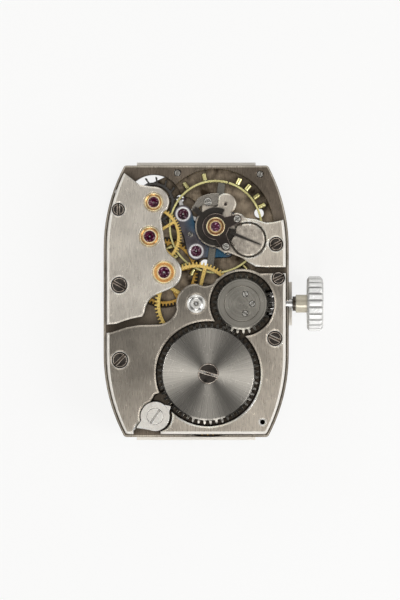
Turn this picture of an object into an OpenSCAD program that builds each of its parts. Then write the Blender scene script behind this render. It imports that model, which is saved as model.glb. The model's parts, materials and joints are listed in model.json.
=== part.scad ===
// Shaped watch movement seen from the back, with the dial side down at z = 0.
// The origin is the hand axis. +X points to the crown, +Y to six o'clock, +Z to the bridges.

/* [Main plate] */
// Width of the main plate across the crown direction
plate_width = 16.16; // [15.9:0.02:16.6]
// Length of the main plate
plate_length = 23.7; // [23.5:0.05:24.4]
// Thickness of the main plate
plate_thickness = 2.05; // [1.95:0.01:2.2]
// Radius of the bowed stretches of the long sides
plate_side_radius = 15.2; // [14.6:0.1:16]
// Length of the straight middle of each long side
plate_side_straight = 9.26; // [8.8:0.02:9.6]
// Distance of the middle of the plate from the hand axis
plate_offset = 0.21; // [0.15:0.01:0.25]
// Radius of the four corners
plate_corner = 0.3; // [0.1:0.05:0.5]
// Width of the casing ledge at each end
ledge_width = 10.4; // [9:0.1:11]
// Width of the casing ledge beside the crown
side_ledge_width = 3.8; // [3:0.1:4.4]
// How far the casing ledges reach beyond the plate
ledge_reach = 0.3; // [0.15:0.01:0.35]
// Thickness of the casing ledges
ledge_thickness = 0.6; // [0.4:0.05:0.7]
// Thickness of the plate left under the barrel
barrel_floor = 0.45; // [0.4:0.01:0.5]

/* [Bridges] */
// Height of the bridges above the plate
bridge_height = 1.55; // [1.5:0.01:1.7]
// Distance of the bridges from the edge of the plate
bridge_inset = 0.3; // [0.2:0.02:0.4]
// Depth of the recess for the winding wheels
wheel_recess = 0.72; // [0.68:0.01:0.76]
// Gap between the winding wheels and the walls of their recess
recess_gap = 0.14; // [0.1:0.01:0.2]

/* [Going train] */
// Barrel axis, distance to the right of the hand axis
barrel_x = 1.05; // [0.95:0.01:1.15]
// Barrel axis, distance towards twelve o'clock
barrel_y = -6.09; // [-6.14:0.01:-6.05]
// Third wheel axis across the plate
third_x = -2.8; // [-2.83:0.01:-2.76]
// Third wheel axis along the plate
third_y = 2.73; // [2.7:0.01:2.76]
// Fourth wheel axis across the plate
fourth_x = -4.05; // [-4.08:0.01:-4.02]
// Fourth wheel axis along the plate
fourth_y = 5.85; // [5.82:0.01:5.88]
// Escape wheel axis across the plate
escape_x = -3.71; // [-3.74:0.01:-3.68]
// Escape wheel axis along the plate
escape_y = 8.83; // [8.8:0.01:8.86]
// Balance axis across the plate
balance_x = 1.69; // [1.66:0.01:1.72]
// Balance axis along the plate
balance_y = 6.71; // [6.68:0.01:6.74]
// Teeth of the barrel
barrel_teeth = 70; // [66:1:74]
// Leaves of the centre pinion
centre_leaves = 12; // [10:1:12]
// Teeth of the centre wheel
centre_teeth = 70; // [70:1:74]
// Leaves of the third pinion
third_leaves = 7; // [6:1:7]
// Teeth of the third wheel
third_teeth = 60; // [58:1:62]
// Leaves of the fourth pinion and of the seconds pinion
fourth_leaves = 10; // [8:1:10]
// Teeth of the fourth wheel
fourth_teeth = 70; // [68:1:72]
// Leaves of the escape pinion
escape_leaves = 7; // [6:1:7]
// Teeth of the escape wheel
escape_teeth = 15; // [15]
// Thickness of the train wheels
wheel_thickness = 0.15; // [0.12:0.01:0.17]
// Backlash of every mesh, as a share of the tooth pitch
backlash = 0.1; // [0.08:0.01:0.14]

/* [Barrel] */
// Radius of the barrel drum
drum_radius = 5.05; // [4.9:0.01:5.08]
// Thickness of the drum wall
drum_wall = 0.2; // [0.16:0.01:0.24]
// Height of the toothed rim of the barrel
rim_height = 0.38; // [0.3:0.01:0.42]
// Radius of the arbor's hub that the mainspring is hooked to
arbor_hub = 1.5; // [1.3:0.05:1.7]
// Turns of the mainspring
mainspring_turns = 10; // [8:1:12]
// Thickness of the mainspring
mainspring_strip = 0.1; // [0.08:0.01:0.12]

/* [Winding work] */
// Module of the ratchet wheel, crown wheel and winding pinion
winding_module = 0.165; // [0.163:0.001:0.167]
// Teeth of the ratchet wheel
ratchet_teeth = 52; // [51:1:53]
// Teeth of the crown wheel
crown_wheel_teeth = 30; // [30:1:31]
// Leaves of the winding pinion
winding_leaves = 16; // [15:1:16]
// Thickness of the ratchet wheel and the crown wheel
winding_thickness = 0.6; // [0.56:0.01:0.62]
// Radius of the winding stem in its bearings
stem_radius = 0.43; // [0.38:0.01:0.45]
// Travel of the stem from winding to setting
stem_travel = 0.4; // [0.3:0.01:0.42]
// Radius of the crown over its flutes
crown_radius = 2.36; // [2.2:0.02:2.5]
// Length of the crown
crown_length = 1.41; // [1.3:0.01:1.5]
// Number of flutes round the crown
crown_flutes = 24; // [20:1:28]
// Radius of the crown's hub
crown_hub = 0.78; // [0.72:0.01:0.9]

/* [Balance] */
// Radius of the balance rim
balance_radius = 4.09; // [4:0.01:4.12]
// Thickness of the balance rim
balance_rim = 0.19; // [0.15:0.01:0.22]
// Height of the balance rim
balance_height = 0.4; // [0.34:0.01:0.42]
// How far the timing screws stand out from the rim
balance_screw_reach = 0.65; // [0.5:0.01:0.68]
// Radius of the timing screw heads
balance_screw_head = 0.2; // [0.16:0.01:0.2]
// Turns of the hairspring
hairspring_turns = 8; // [6:1:9]
// Outer radius of the hairspring
hairspring_radius = 1.97; // [1.9:0.01:1.99]
// Lift of the pallet fork to each side
fork_lift = 5; // [4:0.5:5]

/* [Hands] */
// Radius of the seat for the minute hand
minute_seat = 0.35; // [0.33:0.01:0.36]
// Radius of the seat for the hour hand
hour_seat = 0.7; // [0.68:0.01:0.74]
// Radius of the seat for the seconds hand
seconds_seat = 0.1; // [0.08:0.01:0.12]
// How far the hour hand's seat stands out of the plate
hour_reach = 0.8; // [0.7:0.02:0.9]
// How far the minute hand's seat stands out of the plate
minute_reach = 1.35; // [1.3:0.02:1.5]
// How far the seconds hand's seat stands out of the plate
seconds_reach = 0.75; // [0.7:0.02:0.9]

/* [Screws and jewels] */
// Head radius of the large bridge screws
screw_head = 0.65; // [0.6:0.01:0.68]
// Head height of the bridge screws
screw_head_height = 0.42; // [0.36:0.01:0.46]
// Shank radius of the bridge screws
screw_shank = 0.3; // [0.26:0.01:0.32]
// Head radius of the small screws
small_head = 0.3; // [0.26:0.01:0.32]
// Width of the screw slots
slot_width = 0.16; // [0.12:0.01:0.2]
// Radius of the train jewels
jewel_radius = 0.5; // [0.45:0.01:0.52]
// Radius of the gold chatons
chaton_radius = 0.85; // [0.8:0.01:0.88]
// Radius of the balance, escape and fourth pivots
fine_pivot = 0.07; // [0.06:0.005:0.08]
// Radial clearance of pivots and shafts in their bearings
bearing_gap = 0.02; // [0.012:0.002:0.03]

/* [Hidden] */
$fn = 48;
cut = 0.01;

// Axes of the going train and the balance
centre = [0, 0];
barrel = [barrel_x, barrel_y];
third = [third_x, third_y];
fourth = [fourth_x, fourth_y];
escape = [escape_x, escape_y];
balance = [balance_x, balance_y];
low_distance = norm(fourth - third);
seconds = [0, third_y + sqrt(pow(low_distance, 2) - pow(third_x, 2))];
escapement_line = atan2(balance_y - escape_y, balance_x - escape_x);
pallet_distance = 2.745;
pallet = escape + polar(pallet_distance, escapement_line);

// Modules follow from the distances and the tooth counts
barrel_module = module_of(norm(barrel), barrel_teeth, centre_leaves);
centre_module = module_of(norm(third), centre_teeth, third_leaves);
third_module = module_of(low_distance, third_teeth, fourth_leaves);
fourth_module = module_of(norm(escape - fourth), fourth_teeth, escape_leaves);

// Winding work
ratchet_distance = winding_module * (ratchet_teeth + crown_wheel_teeth) / 2;
crown_wheel_x = barrel_x + sqrt(pow(ratchet_distance, 2) - pow(barrel_y, 2));
crown_axis = [crown_wheel_x, 0];
ratchet_tip = tip_radius(ratchet_teeth, winding_module);
crown_wheel_tip = tip_radius(crown_wheel_teeth, winding_module);
winding_pitch = winding_leaves * winding_module / 2;
winding_tip = tip_radius(winding_leaves, winding_module);

// Heights, from the dial side up
bridge_z = plate_thickness + bridge_height;
recess_z = bridge_z - wheel_recess;
ratchet_z = recess_z + 0.07;
stem_z = ratchet_z + 0.055 - winding_pitch;
barrel_z = barrel_floor + 0.05;
barrel_top = plate_thickness - 0.12;
rim_z = barrel_top - rim_height;
low_wheel_z = 0.95;
pocket_z = low_wheel_z - 0.1;
pallet_bridge_z = low_wheel_z + wheel_thickness + 0.15;
pallet_bridge_thickness = 0.25;
balance_floor = pallet_bridge_z + pallet_bridge_thickness + 0.08;
rim_bottom = balance_floor + 0.14;
high_wheel_z = plate_thickness + 0.27;
hollow_z = high_wheel_z + wheel_thickness + 0.15;
spring_z = high_wheel_z - 0.02;
spring_height = 0.12;
leaf_z = high_wheel_z - 0.1;
leaf_height = hollow_z - leaf_z - 0.06;
shelf_z = bridge_z - 0.27;
jewel_z = hollow_z + 0.1;
jewel_thickness = 0.35;

// Going train sizes
centre_tip = tip_radius(centre_teeth, centre_module);
third_tip = tip_radius(third_teeth, third_module);
fourth_tip = tip_radius(fourth_teeth, fourth_module);
barrel_tip = tip_radius(barrel_teeth, barrel_module);
centre_leaf_tip = tip_radius(centre_leaves, barrel_module);
fourth_leaf_tip = tip_radius(fourth_leaves, third_module);
wheel_room = 0.2;
drum_room = 0.12;
pinion_room = 0.12;
centre_phase = mesh_angle(third);
third_phase = mesh_angle(fourth - third);
fourth_phase = mesh_angle(escape - fourth);
barrel_phase = mesh_angle(centre - barrel);

// Escapement
escape_tip = 2.3;
escape_root = 1.78;
stone_spread = 30;
stone_width = 0.15;
stone_length = 0.5;
stone_gap = 0.06;
fork_z = 0.9;
fork_thickness = 0.16;
fork_length = 2.3;
roller_radius = 0.78;
impulse_radius = 0.61;
safety_radius = 0.36;
roller_z = 1.12;
safety_z = 0.7;

// Balance
balance_sweep = balance_radius + balance_screw_reach;
balance_room = balance_sweep + 0.32;
balance_arm_angle = 82;
balance_arm_width = 0.62;
timing_angles = [24, 36.5, 50.4, 62.9, 102.7, 126];
cut_angle = 74;

// Screws: position, head radius and slot angle
bridge_screw_list = [
    [[-6.77, 8.2], 0.77, 90], [[-6.7, 1.62], 1, -30], [[-6.64, -4.9], 1, 45],
    [[6.84, -3.02], 0.92, -25], [[6.94, 5.18], 0.88, 30]
];
lever_pivot = [7.14, 2.24];
lever_screw_head = 0.52;
click_axis = [-3.58, -9.8];
click_radius = 1.27;
click_screw_head = 0.7;
clamp_screw = [1.02, 8.87];
cap_screws = [[3.55, 7.37], [2.58, 4.98]];
pallet_screw = [-0.5, 6.06];
dial_screws = [[-1.64, 11.41], [5.57, 11.3]];
core_screw_angles = [72, 0, -73];
core_screw_ring = 0.88;
core_head = 0.26;
core_radius = 1.55;
core_hub = 1.0;
steady_pins = [[5.77, -10.3], [-6.9, -7.5], [-6.9, 9.75], [-7.05, -0.5], [7.25, 4.05], [7.2, 6.3]];
steady_radius = 0.2;
banking_radius = 0.09;

// Keyless work on the dial side
winding_pinion_x = crown_wheel_x + 1.95;
winding_pinion_length = 0.92;
winding_collar = 1.08;
leaves_x = crown_wheel_x + (crown_wheel_teeth / 2 - 1.25) * winding_module + 0.04;
clutch_x = 4.1;
clutch_end = winding_pinion_x - 0.05;
clutch_radius = 0.92;
clutch_groove = 0.6;
clutch_tooth = 0.22;
clutch_bore = 0.6;
stem_square = 0.56;
groove_x = 4.9;
groove_width = 0.38;
lever_pin_x = 7.25;
lever_pin_radius = 0.13;
stem_groove = 0.25;
yoke_pivot = [4.9, 2.5];
keyless_z = 0.3;
keyless_thickness = 0.22;
keyless_ceiling = 0.58;
cover_z = 0.05;
cover_thickness = 0.12;
cover_posts = [[4.5, -0.75], [7.5, -0.85]];
crown_gap = 0.04;
hub_x = plate_width / 2 + ledge_reach + crown_gap;
hub_length = 1.26;
neck_radius = 0.64;
neck_length = 0.28;
crown_x = hub_x + hub_length;

// Motion work on the dial side
cannon_leaves = 12;
minute_teeth = 36;
minute_leaves = 10;
hour_teeth = 40;
setting_teeth = 28;
motion_distance = 1.6;
cannon_module = module_of(motion_distance, cannon_leaves, minute_teeth);
hour_module = module_of(motion_distance, minute_leaves, hour_teeth);
minute_axis = polar(motion_distance, 60);
setting_distance = cannon_module * (minute_teeth + setting_teeth) / 2;
setting_y = 0.35;
setting_axis = [
    minute_axis.x + sqrt(pow(setting_distance, 2) - pow(minute_axis.y - setting_y, 2)),
    setting_y
];
motion_z = 0.3;
motion_ceiling = 0.5;
minute_thickness = 0.15;
minute_phase = mesh_angle(setting_axis - minute_axis);
hour_z = 0.07;
hour_thickness = 0.15;
setting_top = 0.95;
setting_ceiling = 1.0;
cannon_sleeve = minute_seat + 0.16;
arbor_end = 1.2;
arbor_tail = 0.17;

// Sizes of single parts
nickel = [0.7, 0.68, 0.65];
dark_nickel = [0.45, 0.41, 0.38];
steel = [0.6, 0.6, 0.62];
black_steel = [0.22, 0.21, 0.22];
gilt = [0.88, 0.7, 0.3];
gold = [0.92, 0.75, 0.45];
brass = [0.78, 0.72, 0.42];
ruby = [0.55, 0.05, 0.3];
blue_steel = [0.35, 0.4, 0.46];
pallet_leg_screw = [2.7, 4.55];
pallet_heads = [0.26, 0.34];
arbor_pivot = 0.5;
centre_arbor = 0.3;
seconds_arbor = 0.26;
lower_jewel = 0.4;
lower_jewel_z = 0.5;
lower_cap_radius = 1.0;
lower_cap_depth = 0.28;
lower_cap_screws = [60, 240];
stem_inner_x = 2.8;
stem_pivot = 0.22;
light_holes = [[[5.5, 7.92], 0.42], [[0.77, 3.45], 0.42], [[-1.41, 9.19], 0.33]];
hour_wheel_tip = tip_radius(hour_teeth, hour_module);
cannon_tip = tip_radius(cannon_leaves, cannon_module);
minute_tip = tip_radius(minute_teeth, cannon_module);
setting_tip = tip_radius(setting_teeth, cannon_module);
minute_post = 0.14;
setting_post = 0.25;
arbor_neck = 0.55;
bush_body = 0.55;
bush_flange = 0.8;
bush_flange_height = 0.4;
lever_shank = 0.2;
cover_shank = 0.14;
screw_sink = 0.03;
screw_hole_gap = 0.07;
click_floor = bridge_z - 0.42;
click_notch = [[-3.98, -8.5], [-3.62, -7.88], [-2.8, -7.6], [-1.9, -8.3], [-2.2, -9.3], [-3.2, -8.6]];
stud_lobe = [2.55, 8.68];
nose_z = hollow_z + 0.13;
regulator_ring = 1.68;
upper_jewel = 0.45;
field_tip = [2.7, 6.35];
field_end = [4.55, 5.56];
field_radius = 1.56;
field_groove = 0.16;
tooth_slope = 0.15;
tooth_band = 0.5;
stud_place = balance + polar(2.13, 66);
stud_radius = 0.15;
small_jewel = 0.47;
lower_cap_z = 0.04;
clamp_thickness = 0.18;
clamp_z = 3.08;
cap_chaton = 0.8;
cap_stone = 0.4;
third_pivot = 0.1;
lower_hole_z = 0.32;
centre_pivot = 0.13;
arbor_square = 0.8;
cover_radius = drum_radius - drum_wall + 0.08;
click_thickness = 0.36;
cap_radius = 1.13;
cap_neck = 0.62;
boot_angle = 140;
index_angle = -21.9;
collet_radius = 0.42;
staff_seat = 0.2;
balance_seat = 0.3;
impulse_pin = 0.07;
notch = 0.2;
guard_reach = norm(balance - pallet) - safety_radius - 0.06;
stem_thread = 0.35;
beak_angle = 220.8;
beak_tip = barrel + polar(ratchet_tip - 0.08, beak_angle);
ratchet_phase = mesh_angle(beak_tip - barrel) + 180 / ratchet_teeth;
crown_phase = meshed(ratchet_phase, ratchet_teeth, mesh_angle(crown_axis - barrel), crown_wheel_teeth);
winding_turn = 180 + 180 / winding_leaves - crown_phase * crown_wheel_teeth / winding_leaves;

// Geometry helpers
function polar(r, a) = [r * cos(a), r * sin(a)];
function arc(c, r, a0, a1, n = 12) = [for (i = [0:n]) c + polar(r, a0 + (a1 - a0) * i / n)];
function module_of(distance, a, b) = 2 * distance / (a + b);
function tip_radius(teeth, m) = teeth * m / 2 + 0.95 * m;
function mesh_angle(v) = atan2(v.y, v.x);

// Outline of the convex body round two circles, such as a lever
function link(p, r, q, s, n = 14) =
    let (d = norm(q - p), a = mesh_angle(q - p), b = acos((r - s) / d))
    concat(
        [for (i = [0:n]) p + polar(r, a + b + (360 - 2 * b) * i / n)],
        [for (i = [0:n]) q + polar(s, a - b + 2 * b * i / n)]
    );

// Points that round the corner at p, between a and b, with radius r
function round_corner(a, p, b, r, n = 5) =
    let (
        u = (a - p) / norm(a - p),
        v = (b - p) / norm(b - p),
        half = acos(u * v) / 2,
        c = p + (u + v) / norm(u + v) * r / sin(half),
        start = mesh_angle(p + u * r / tan(half) - c),
        end = mesh_angle(p + v * r / tan(half) - c),
        turn = (end - start + 540) % 360 - 180
    )
    [for (i = [0:n]) c + polar(r, start + turn * i / n)];

// One quarter of the plate's bowed side, from the straight to the end
function side_points(inset, n = 10) =
    let (
        r = plate_side_radius - inset,
        c = [plate_width / 2 - plate_side_radius, plate_side_straight / 2],
        top = asin((plate_length / 2 - inset - c.y) / r)
    )
    arc(c, r, 0, top, n);

// Outline of the plate, or of a bridge that stands inset from its edge
function plate_outline(inset) =
    let (
        q = side_points(inset),
        last = len(q) - 1,
        corner = round_corner(q[last - 1], q[last], [0, q[last].y], plate_corner),
        quarter = concat([for (i = [0:last - 1]) q[i]], corner),
        n = len(quarter) - 1,
        middle = [0, plate_offset]
    )
    [
        for (p = quarter) p + middle,
        for (i = [n:-1:0]) [-quarter[i].x, quarter[i].y] + middle,
        for (p = quarter) [-p.x, -p.y] + middle,
        for (i = [n:-1:0]) [quarter[i].x, -quarter[i].y] + middle
    ];

// Outline of a toothed wheel with rounded, pointed teeth; one tooth stands at the phase angle
function gear(teeth, m, phase = 0, width = 0.5 - backlash / 2) =
    let (rp = teeth * m / 2, rt = rp + 0.95 * m, rf = rp - 1.25 * m, p = 360 / teeth)
    [
        for (i = [0:teeth - 1]) let (a = phase + i * p) each [
            polar(rf, a - p * (width / 2 + 0.02)), polar(rp, a - p * width / 2),
            polar(rp + 0.6 * m, a - p * width * 0.34), polar(rt, a - p * width * 0.1),
            polar(rt, a + p * width * 0.1), polar(rp + 0.6 * m, a + p * width * 0.34),
            polar(rp, a + p * width / 2), polar(rf, a + p * (width / 2 + 0.02))
        ]
    ];

// Outline of a pinion, whose leaves are thinner than wheel teeth
function pinion(leaves, m, phase = 0) = gear(leaves, m, phase, 0.42);

// Phase of a wheel of b teeth that meshes at angle v with one of a teeth whose phase is given
function meshed(phase, a, v, b) = v + 180 + 180 / b - (phase - v) * a / b;

// Outline of a flat spiral strip
function spiral(r0, r1, turns, strip, end_angle, steps = 24) =
    let (n = turns * steps, start = end_angle - turns * 360)
    concat(
        [for (i = [0:n]) polar(r0 + (r1 - r0) * i / n - strip / 2, start + turns * 360 * i / n)],
        [for (i = [n:-1:0]) polar(r0 + (r1 - r0) * i / n + strip / 2, start + turns * 360 * i / n)]
    );

module at(p, z = 0) translate([p.x, p.y, z]) children();
module plate(points, z, height) translate([0, 0, z]) linear_extrude(height) polygon(points);
module disc(p, r, z, height) at(p, z) cylinder(r = r, h = height);
module ring(p, r, bore, z, height)
    at(p, z) difference() {
        cylinder(r = r, h = height);
        translate([0, 0, -cut]) cylinder(r = bore, h = height + 2 * cut);
    }
// A round turned body: pairs of radius and height, from the axis up
module turned(p, profile) at(p) rotate_extrude() polygon(profile);

// A slotted screw whose head's top is at height z
module screw(p, z, head, head_height, shank, length, slot) {
    chamfer = 0.06;
    difference() {
        turned(p, [
            [0, z], [head - chamfer, z], [head, z - chamfer], [head, z - head_height],
            [shank, z - head_height], [shank, z - length], [0, z - length]
        ]);
        at(p, z - 0.14) rotate(slot)
            translate([-head - cut, -slot_width / 2, 0])
            cube([2 * (head + cut), slot_width, 0.14 + cut]);
    }
}

// Flat wheel with arms: outline, inner radius of the rim, hub radius and bore
module spoked(points, z, height, rim, hub, bore, arms, arm_width, arm_angle)
    translate([0, 0, z]) linear_extrude(height) difference() {
        polygon(points);
        difference() {
            circle(r = rim);
            circle(r = hub);
            for (i = [0:arms - 1])
                rotate(arm_angle + 360 * i / arms)
                translate([0, -arm_width / 2]) square([rim + cut, arm_width]);
        }
        circle(r = bore);
    }

// Stands a shape that is drawn about Z along the winding stem
module on_stem(x) translate([x, 0, stem_z]) rotate([0, 90, 0]) children();

function click_place(r, a) = click_axis + polar(r, a);
function screw_radius(item) = screw_head * item[1];

module pallet_bridge_shape(grow = 0) {
    polygon(link(pallet, 0.8 + grow, pallet_screw, 0.6 + grow));
    polygon(link(pallet_screw, 0.6 + grow, seconds, 0.78 + grow));
    polygon(link(seconds, 0.6 + grow, pallet_leg_screw, 0.5 + grow));
}

module mainplate() color(dark_nickel) difference() {
    union() {
        plate(plate_outline(0), 0, plate_thickness);
        translate([-ledge_width / 2, plate_offset - plate_length / 2 - ledge_reach, 0])
            cube([ledge_width, plate_length + 2 * ledge_reach, ledge_thickness]);
        translate([0, -side_ledge_width / 2, 0])
            cube([plate_width / 2 + ledge_reach, side_ledge_width, ledge_thickness]);
    }
    plate_pockets();
    keyless_recess();
    motion_recess();
    plate_bores();
}

// Room for the barrel, the train, the escapement and the balance
module plate_pockets() {
    up = plate_thickness + cut;
    disc(barrel, drum_radius + drum_room, barrel_floor, up - barrel_floor);
    disc(barrel, barrel_tip + drum_room, rim_z - 0.06, up - rim_z + 0.06);
    disc(centre, centre_leaf_tip + pinion_room, rim_z - 0.14, up - rim_z + 0.14);
    disc(third, third_tip + 0.1, pocket_z, up - pocket_z);
    disc(fourth, fourth_leaf_tip + pinion_room, pocket_z, up - pocket_z);
    disc(seconds, fourth_leaf_tip + pinion_room, pocket_z, up - pocket_z);
    disc(escape, escape_tip + 0.15, pocket_z, up - pocket_z);
    disc(pallet, 1.52, safety_z - 0.1, up - safety_z + 0.1);
    disc(balance, roller_radius + 0.2, safety_z - 0.1, up - safety_z + 0.1);
    at(pallet, safety_z - 0.1) rotate(escapement_line)
        translate([0, -0.5, 0]) cube([pallet_distance, 1, up - safety_z + 0.1]);
    disc(balance, balance_room, balance_floor, up - balance_floor);
    translate([0, 0, pallet_bridge_z]) linear_extrude(up - pallet_bridge_z)
        pallet_bridge_shape(0.06);
    // window beyond the escape wheel, where the light shows through
    translate([0, 0, -cut]) linear_extrude(up) intersection() {
        translate(escape) circle(r = escape_tip + 0.15);
        polygon([[-6.4, 11.6], [-6.4, 9.4], [-4.1, 10.45], [-2.2, 11.35], [-3, 11.6]]);
    }
}

// Holes that run through the plate
module plate_bores() {
    through = plate_thickness + 2 * cut;
    for (s = bridge_screw_list) disc(s[0], screw_shank, 0.5, through);
    disc(lever_pivot, lever_shank + bearing_gap, keyless_ceiling - cut, through);
    for (p = cover_posts) disc(p, cover_shank, cover_z + cover_thickness - cut, 0.6);
    for (p = steady_pins) disc(p, steady_radius, 1.1, through);
    for (p = dial_screws) {
        disc(p, small_head + 0.02, plate_thickness - 0.25, 1);
        disc(p, small_head / 2, plate_thickness - 0.9, 1);
    }
    disc(pallet_screw, small_head / 2, pallet_bridge_z - 0.5, 1);
    disc(pallet_leg_screw, small_head / 2, pallet_bridge_z - 0.5, 1);
    disc(barrel, arbor_pivot + bearing_gap, -cut, through);
    disc(centre, centre_arbor + bearing_gap, -cut, through);
    disc(seconds, seconds_arbor + bearing_gap, -cut, through);
    for (p = [escape, fourth, third]) {
        disc(p, lower_jewel, lower_jewel_z, 1);
        disc(p, 0.22, -cut, 1);
    }
    disc(pallet, lower_jewel, 0.3, 1);
    disc(pallet, 0.22, -cut, 1);
    // balance jewels with their cap on the dial side
    disc(balance, lower_jewel, -cut, 1);
    disc(balance, lower_cap_radius + 0.04, -cut, lower_cap_depth + cut);
    for (a = lower_cap_screws) disc(balance + polar(0.72, a), 0.12, -cut, 0.5);
    for (s = [-1, 1]) disc(banking(s), banking_radius, safety_z - 0.35, 1);
    // light holes round the balance
    for (h = light_holes) disc(h[0], h[1], -cut, through);
    // bearings of the winding stem
    on_stem(stem_inner_x) cylinder(r = stem_pivot + bearing_gap, h = 2);
    on_stem(winding_pinion_x) cylinder(r = stem_radius + bearing_gap, h = 3);
    on_stem(winding_pinion_x - 0.27)
        cylinder(r = winding_tip + 0.08, h = winding_pinion_length + 0.32);
    on_stem(clutch_x - stem_travel - 0.1)
        cylinder(r = clutch_radius + 0.07, h = clutch_end - clutch_x + stem_travel);
    // slot for the setting lever's pin and window for the yoke's finger
    translate([lever_pin_x - 0.2, -0.22, keyless_z]) cube([2, 0.44, stem_z - keyless_z]);
    translate([groove_x - stem_travel - 0.25, -0.3, keyless_z])
        cube([stem_travel + 0.5, 0.6, stem_z - keyless_z]);
}

// Place of a banking pin: it stops the lever, 0.15 mm half wide there, at the end of its lift
function banking(side) =
    let (reach = 1.35, lift = reach * sin(fork_lift) + 0.153 + banking_radius)
    pallet + polar(reach, escapement_line) + polar(lift, escapement_line + 90 * side);

// Recess on the dial side for the setting lever, the yoke and their cover
module keyless_recess() difference() {
    translate([4.05, -1.25, -cut]) cube([3.85, 4.3, keyless_ceiling + cut]);
    for (p = cover_posts) disc(p, 0.3, cover_z + cover_thickness, 1);
    disc(yoke_pivot, 0.2, cover_z + cover_thickness + 0.02, 1);
    disc([6.1, 2.8], 0.2, cover_z + cover_thickness, 1);
}

// Recess on the dial side for the wheels that drive the hands
module motion_recess() {
    disc(centre, hour_wheel_tip + 0.1, -cut, motion_z - 0.04 + cut);
    disc(centre, max(cannon_tip, cannon_sleeve) + 0.05, -cut, motion_ceiling + cut);
    difference() {
        disc(minute_axis, minute_tip + 0.08, -cut, motion_ceiling + cut);
        disc(minute_axis, minute_post, hour_z, 1);
    }
    difference() {
        disc(setting_axis, setting_tip + 0.07, -cut, setting_ceiling + cut);
        disc(setting_axis, setting_post, motion_z - 0.08, 1);
    }
}

// Free edge of the train bridge, from its top tip round the jewels to the left side
train_edge = concat(
    [[-9, 11.35], [-6.25, 11.35], [-5.9, 11.1], [-4.95, 10.36]],
    arc(escape, 1.35, 96, -30, 12),
    arc([-2.05, 7.35], 1.0, 128, 188, 6),
    arc([-1.4, 5.25], 1.32, 187, 235, 6),
    arc(third, 1.52, 64, -72, 14),
    arc([-2.6, -0.9], 1.92, 108, 176, 9),
    [[-4.68, -1.1], [-5.57, -1.28], [-6.3, -1.5], [-6.95, -1.75], [-9, -1.9]]
);

// Free edge of the barrel bridge, round the centre jewel and the crown wheel
barrel_edge = concat(
    [[9, -13], [-9, -13], [-9, -2.72], [-7.4, -2.5], [-6.06, -2.06], [-4.97, -1.87]],
    arc([-3.45, 0], 1.84, 268, 345, 8),
    arc(centre, 1.73, 186, 86, 10),
    arc([0.8, 2.6], 1.08, 248, 338, 7),
    arc(crown_axis, 3.03, 133, 60, 9),
    [[9, 2.66]]
);

// Free edge of the balance cock outside its nose
cock_edge = concat(
    [[9, 7.3], [7.55, 7.28], [6.7, 7.09], [6.09, 7.03], [5.17, 7.34], [4.3, 7.45], [3.95, 7.78]],
    arc(cap_screws[0], 0.52, 60, 130, 5),
    arc(balance, regulator_ring + 0.06, 60, 232, 18),
    [[1.21, 5.08], [1.82, 4.84]],
    arc(cap_screws[1], 0.54, 230, 290, 4),
    [[4.01, 3.98], [4.6, 3.55], [5.17, 3.24], [6.2, 3.18], [9, 3.18]]
);

// A bridge: the part of the inset plate outline inside its free edge, with its seat and hollows
module bridge_blank(edge, base = 0)
    translate([0, 0, plate_thickness + base]) linear_extrude(bridge_height - base) intersection() {
        polygon(plate_outline(bridge_inset));
        polygon(edge);
    }

// Counterbore and clearance hole of a bridge screw
module bridge_screw_hole(item) {
    disc(item[0], screw_radius(item) + screw_hole_gap, bridge_z - screw_head_height - screw_sink, 1);
    disc(item[0], screw_shank + 0.03, plate_thickness - cut, bridge_height);
}

module train_bridge() color(nickel) difference() {
    bridge_blank(train_edge);
    disc(centre, centre_tip + wheel_room, plate_thickness - cut, hollow_z - plate_thickness);
    disc(fourth, fourth_tip + wheel_room, plate_thickness - cut, hollow_z - plate_thickness);
    disc(balance, balance_room, plate_thickness - cut, hollow_z - plate_thickness);
    disc(escape, 1.3, plate_thickness - cut, hollow_z - plate_thickness);
    disc(third, 1.2, plate_thickness - cut, hollow_z - plate_thickness);
    for (i = [0, 1]) bridge_screw_hole(bridge_screw_list[i]);
    for (p = [escape, fourth, third]) disc(p, chaton_of(p), hollow_z - 0.1, 2);
    for (i = [2, 3]) disc(steady_pins[i], steady_radius, plate_thickness - cut, 0.8);
}
function chaton_of(p) = p == third ? chaton_radius * 1.12 : p == escape ? chaton_radius * 0.92 : chaton_radius;
function jewel_of(p) = p == escape ? jewel_radius * 0.92 : jewel_radius;

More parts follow.
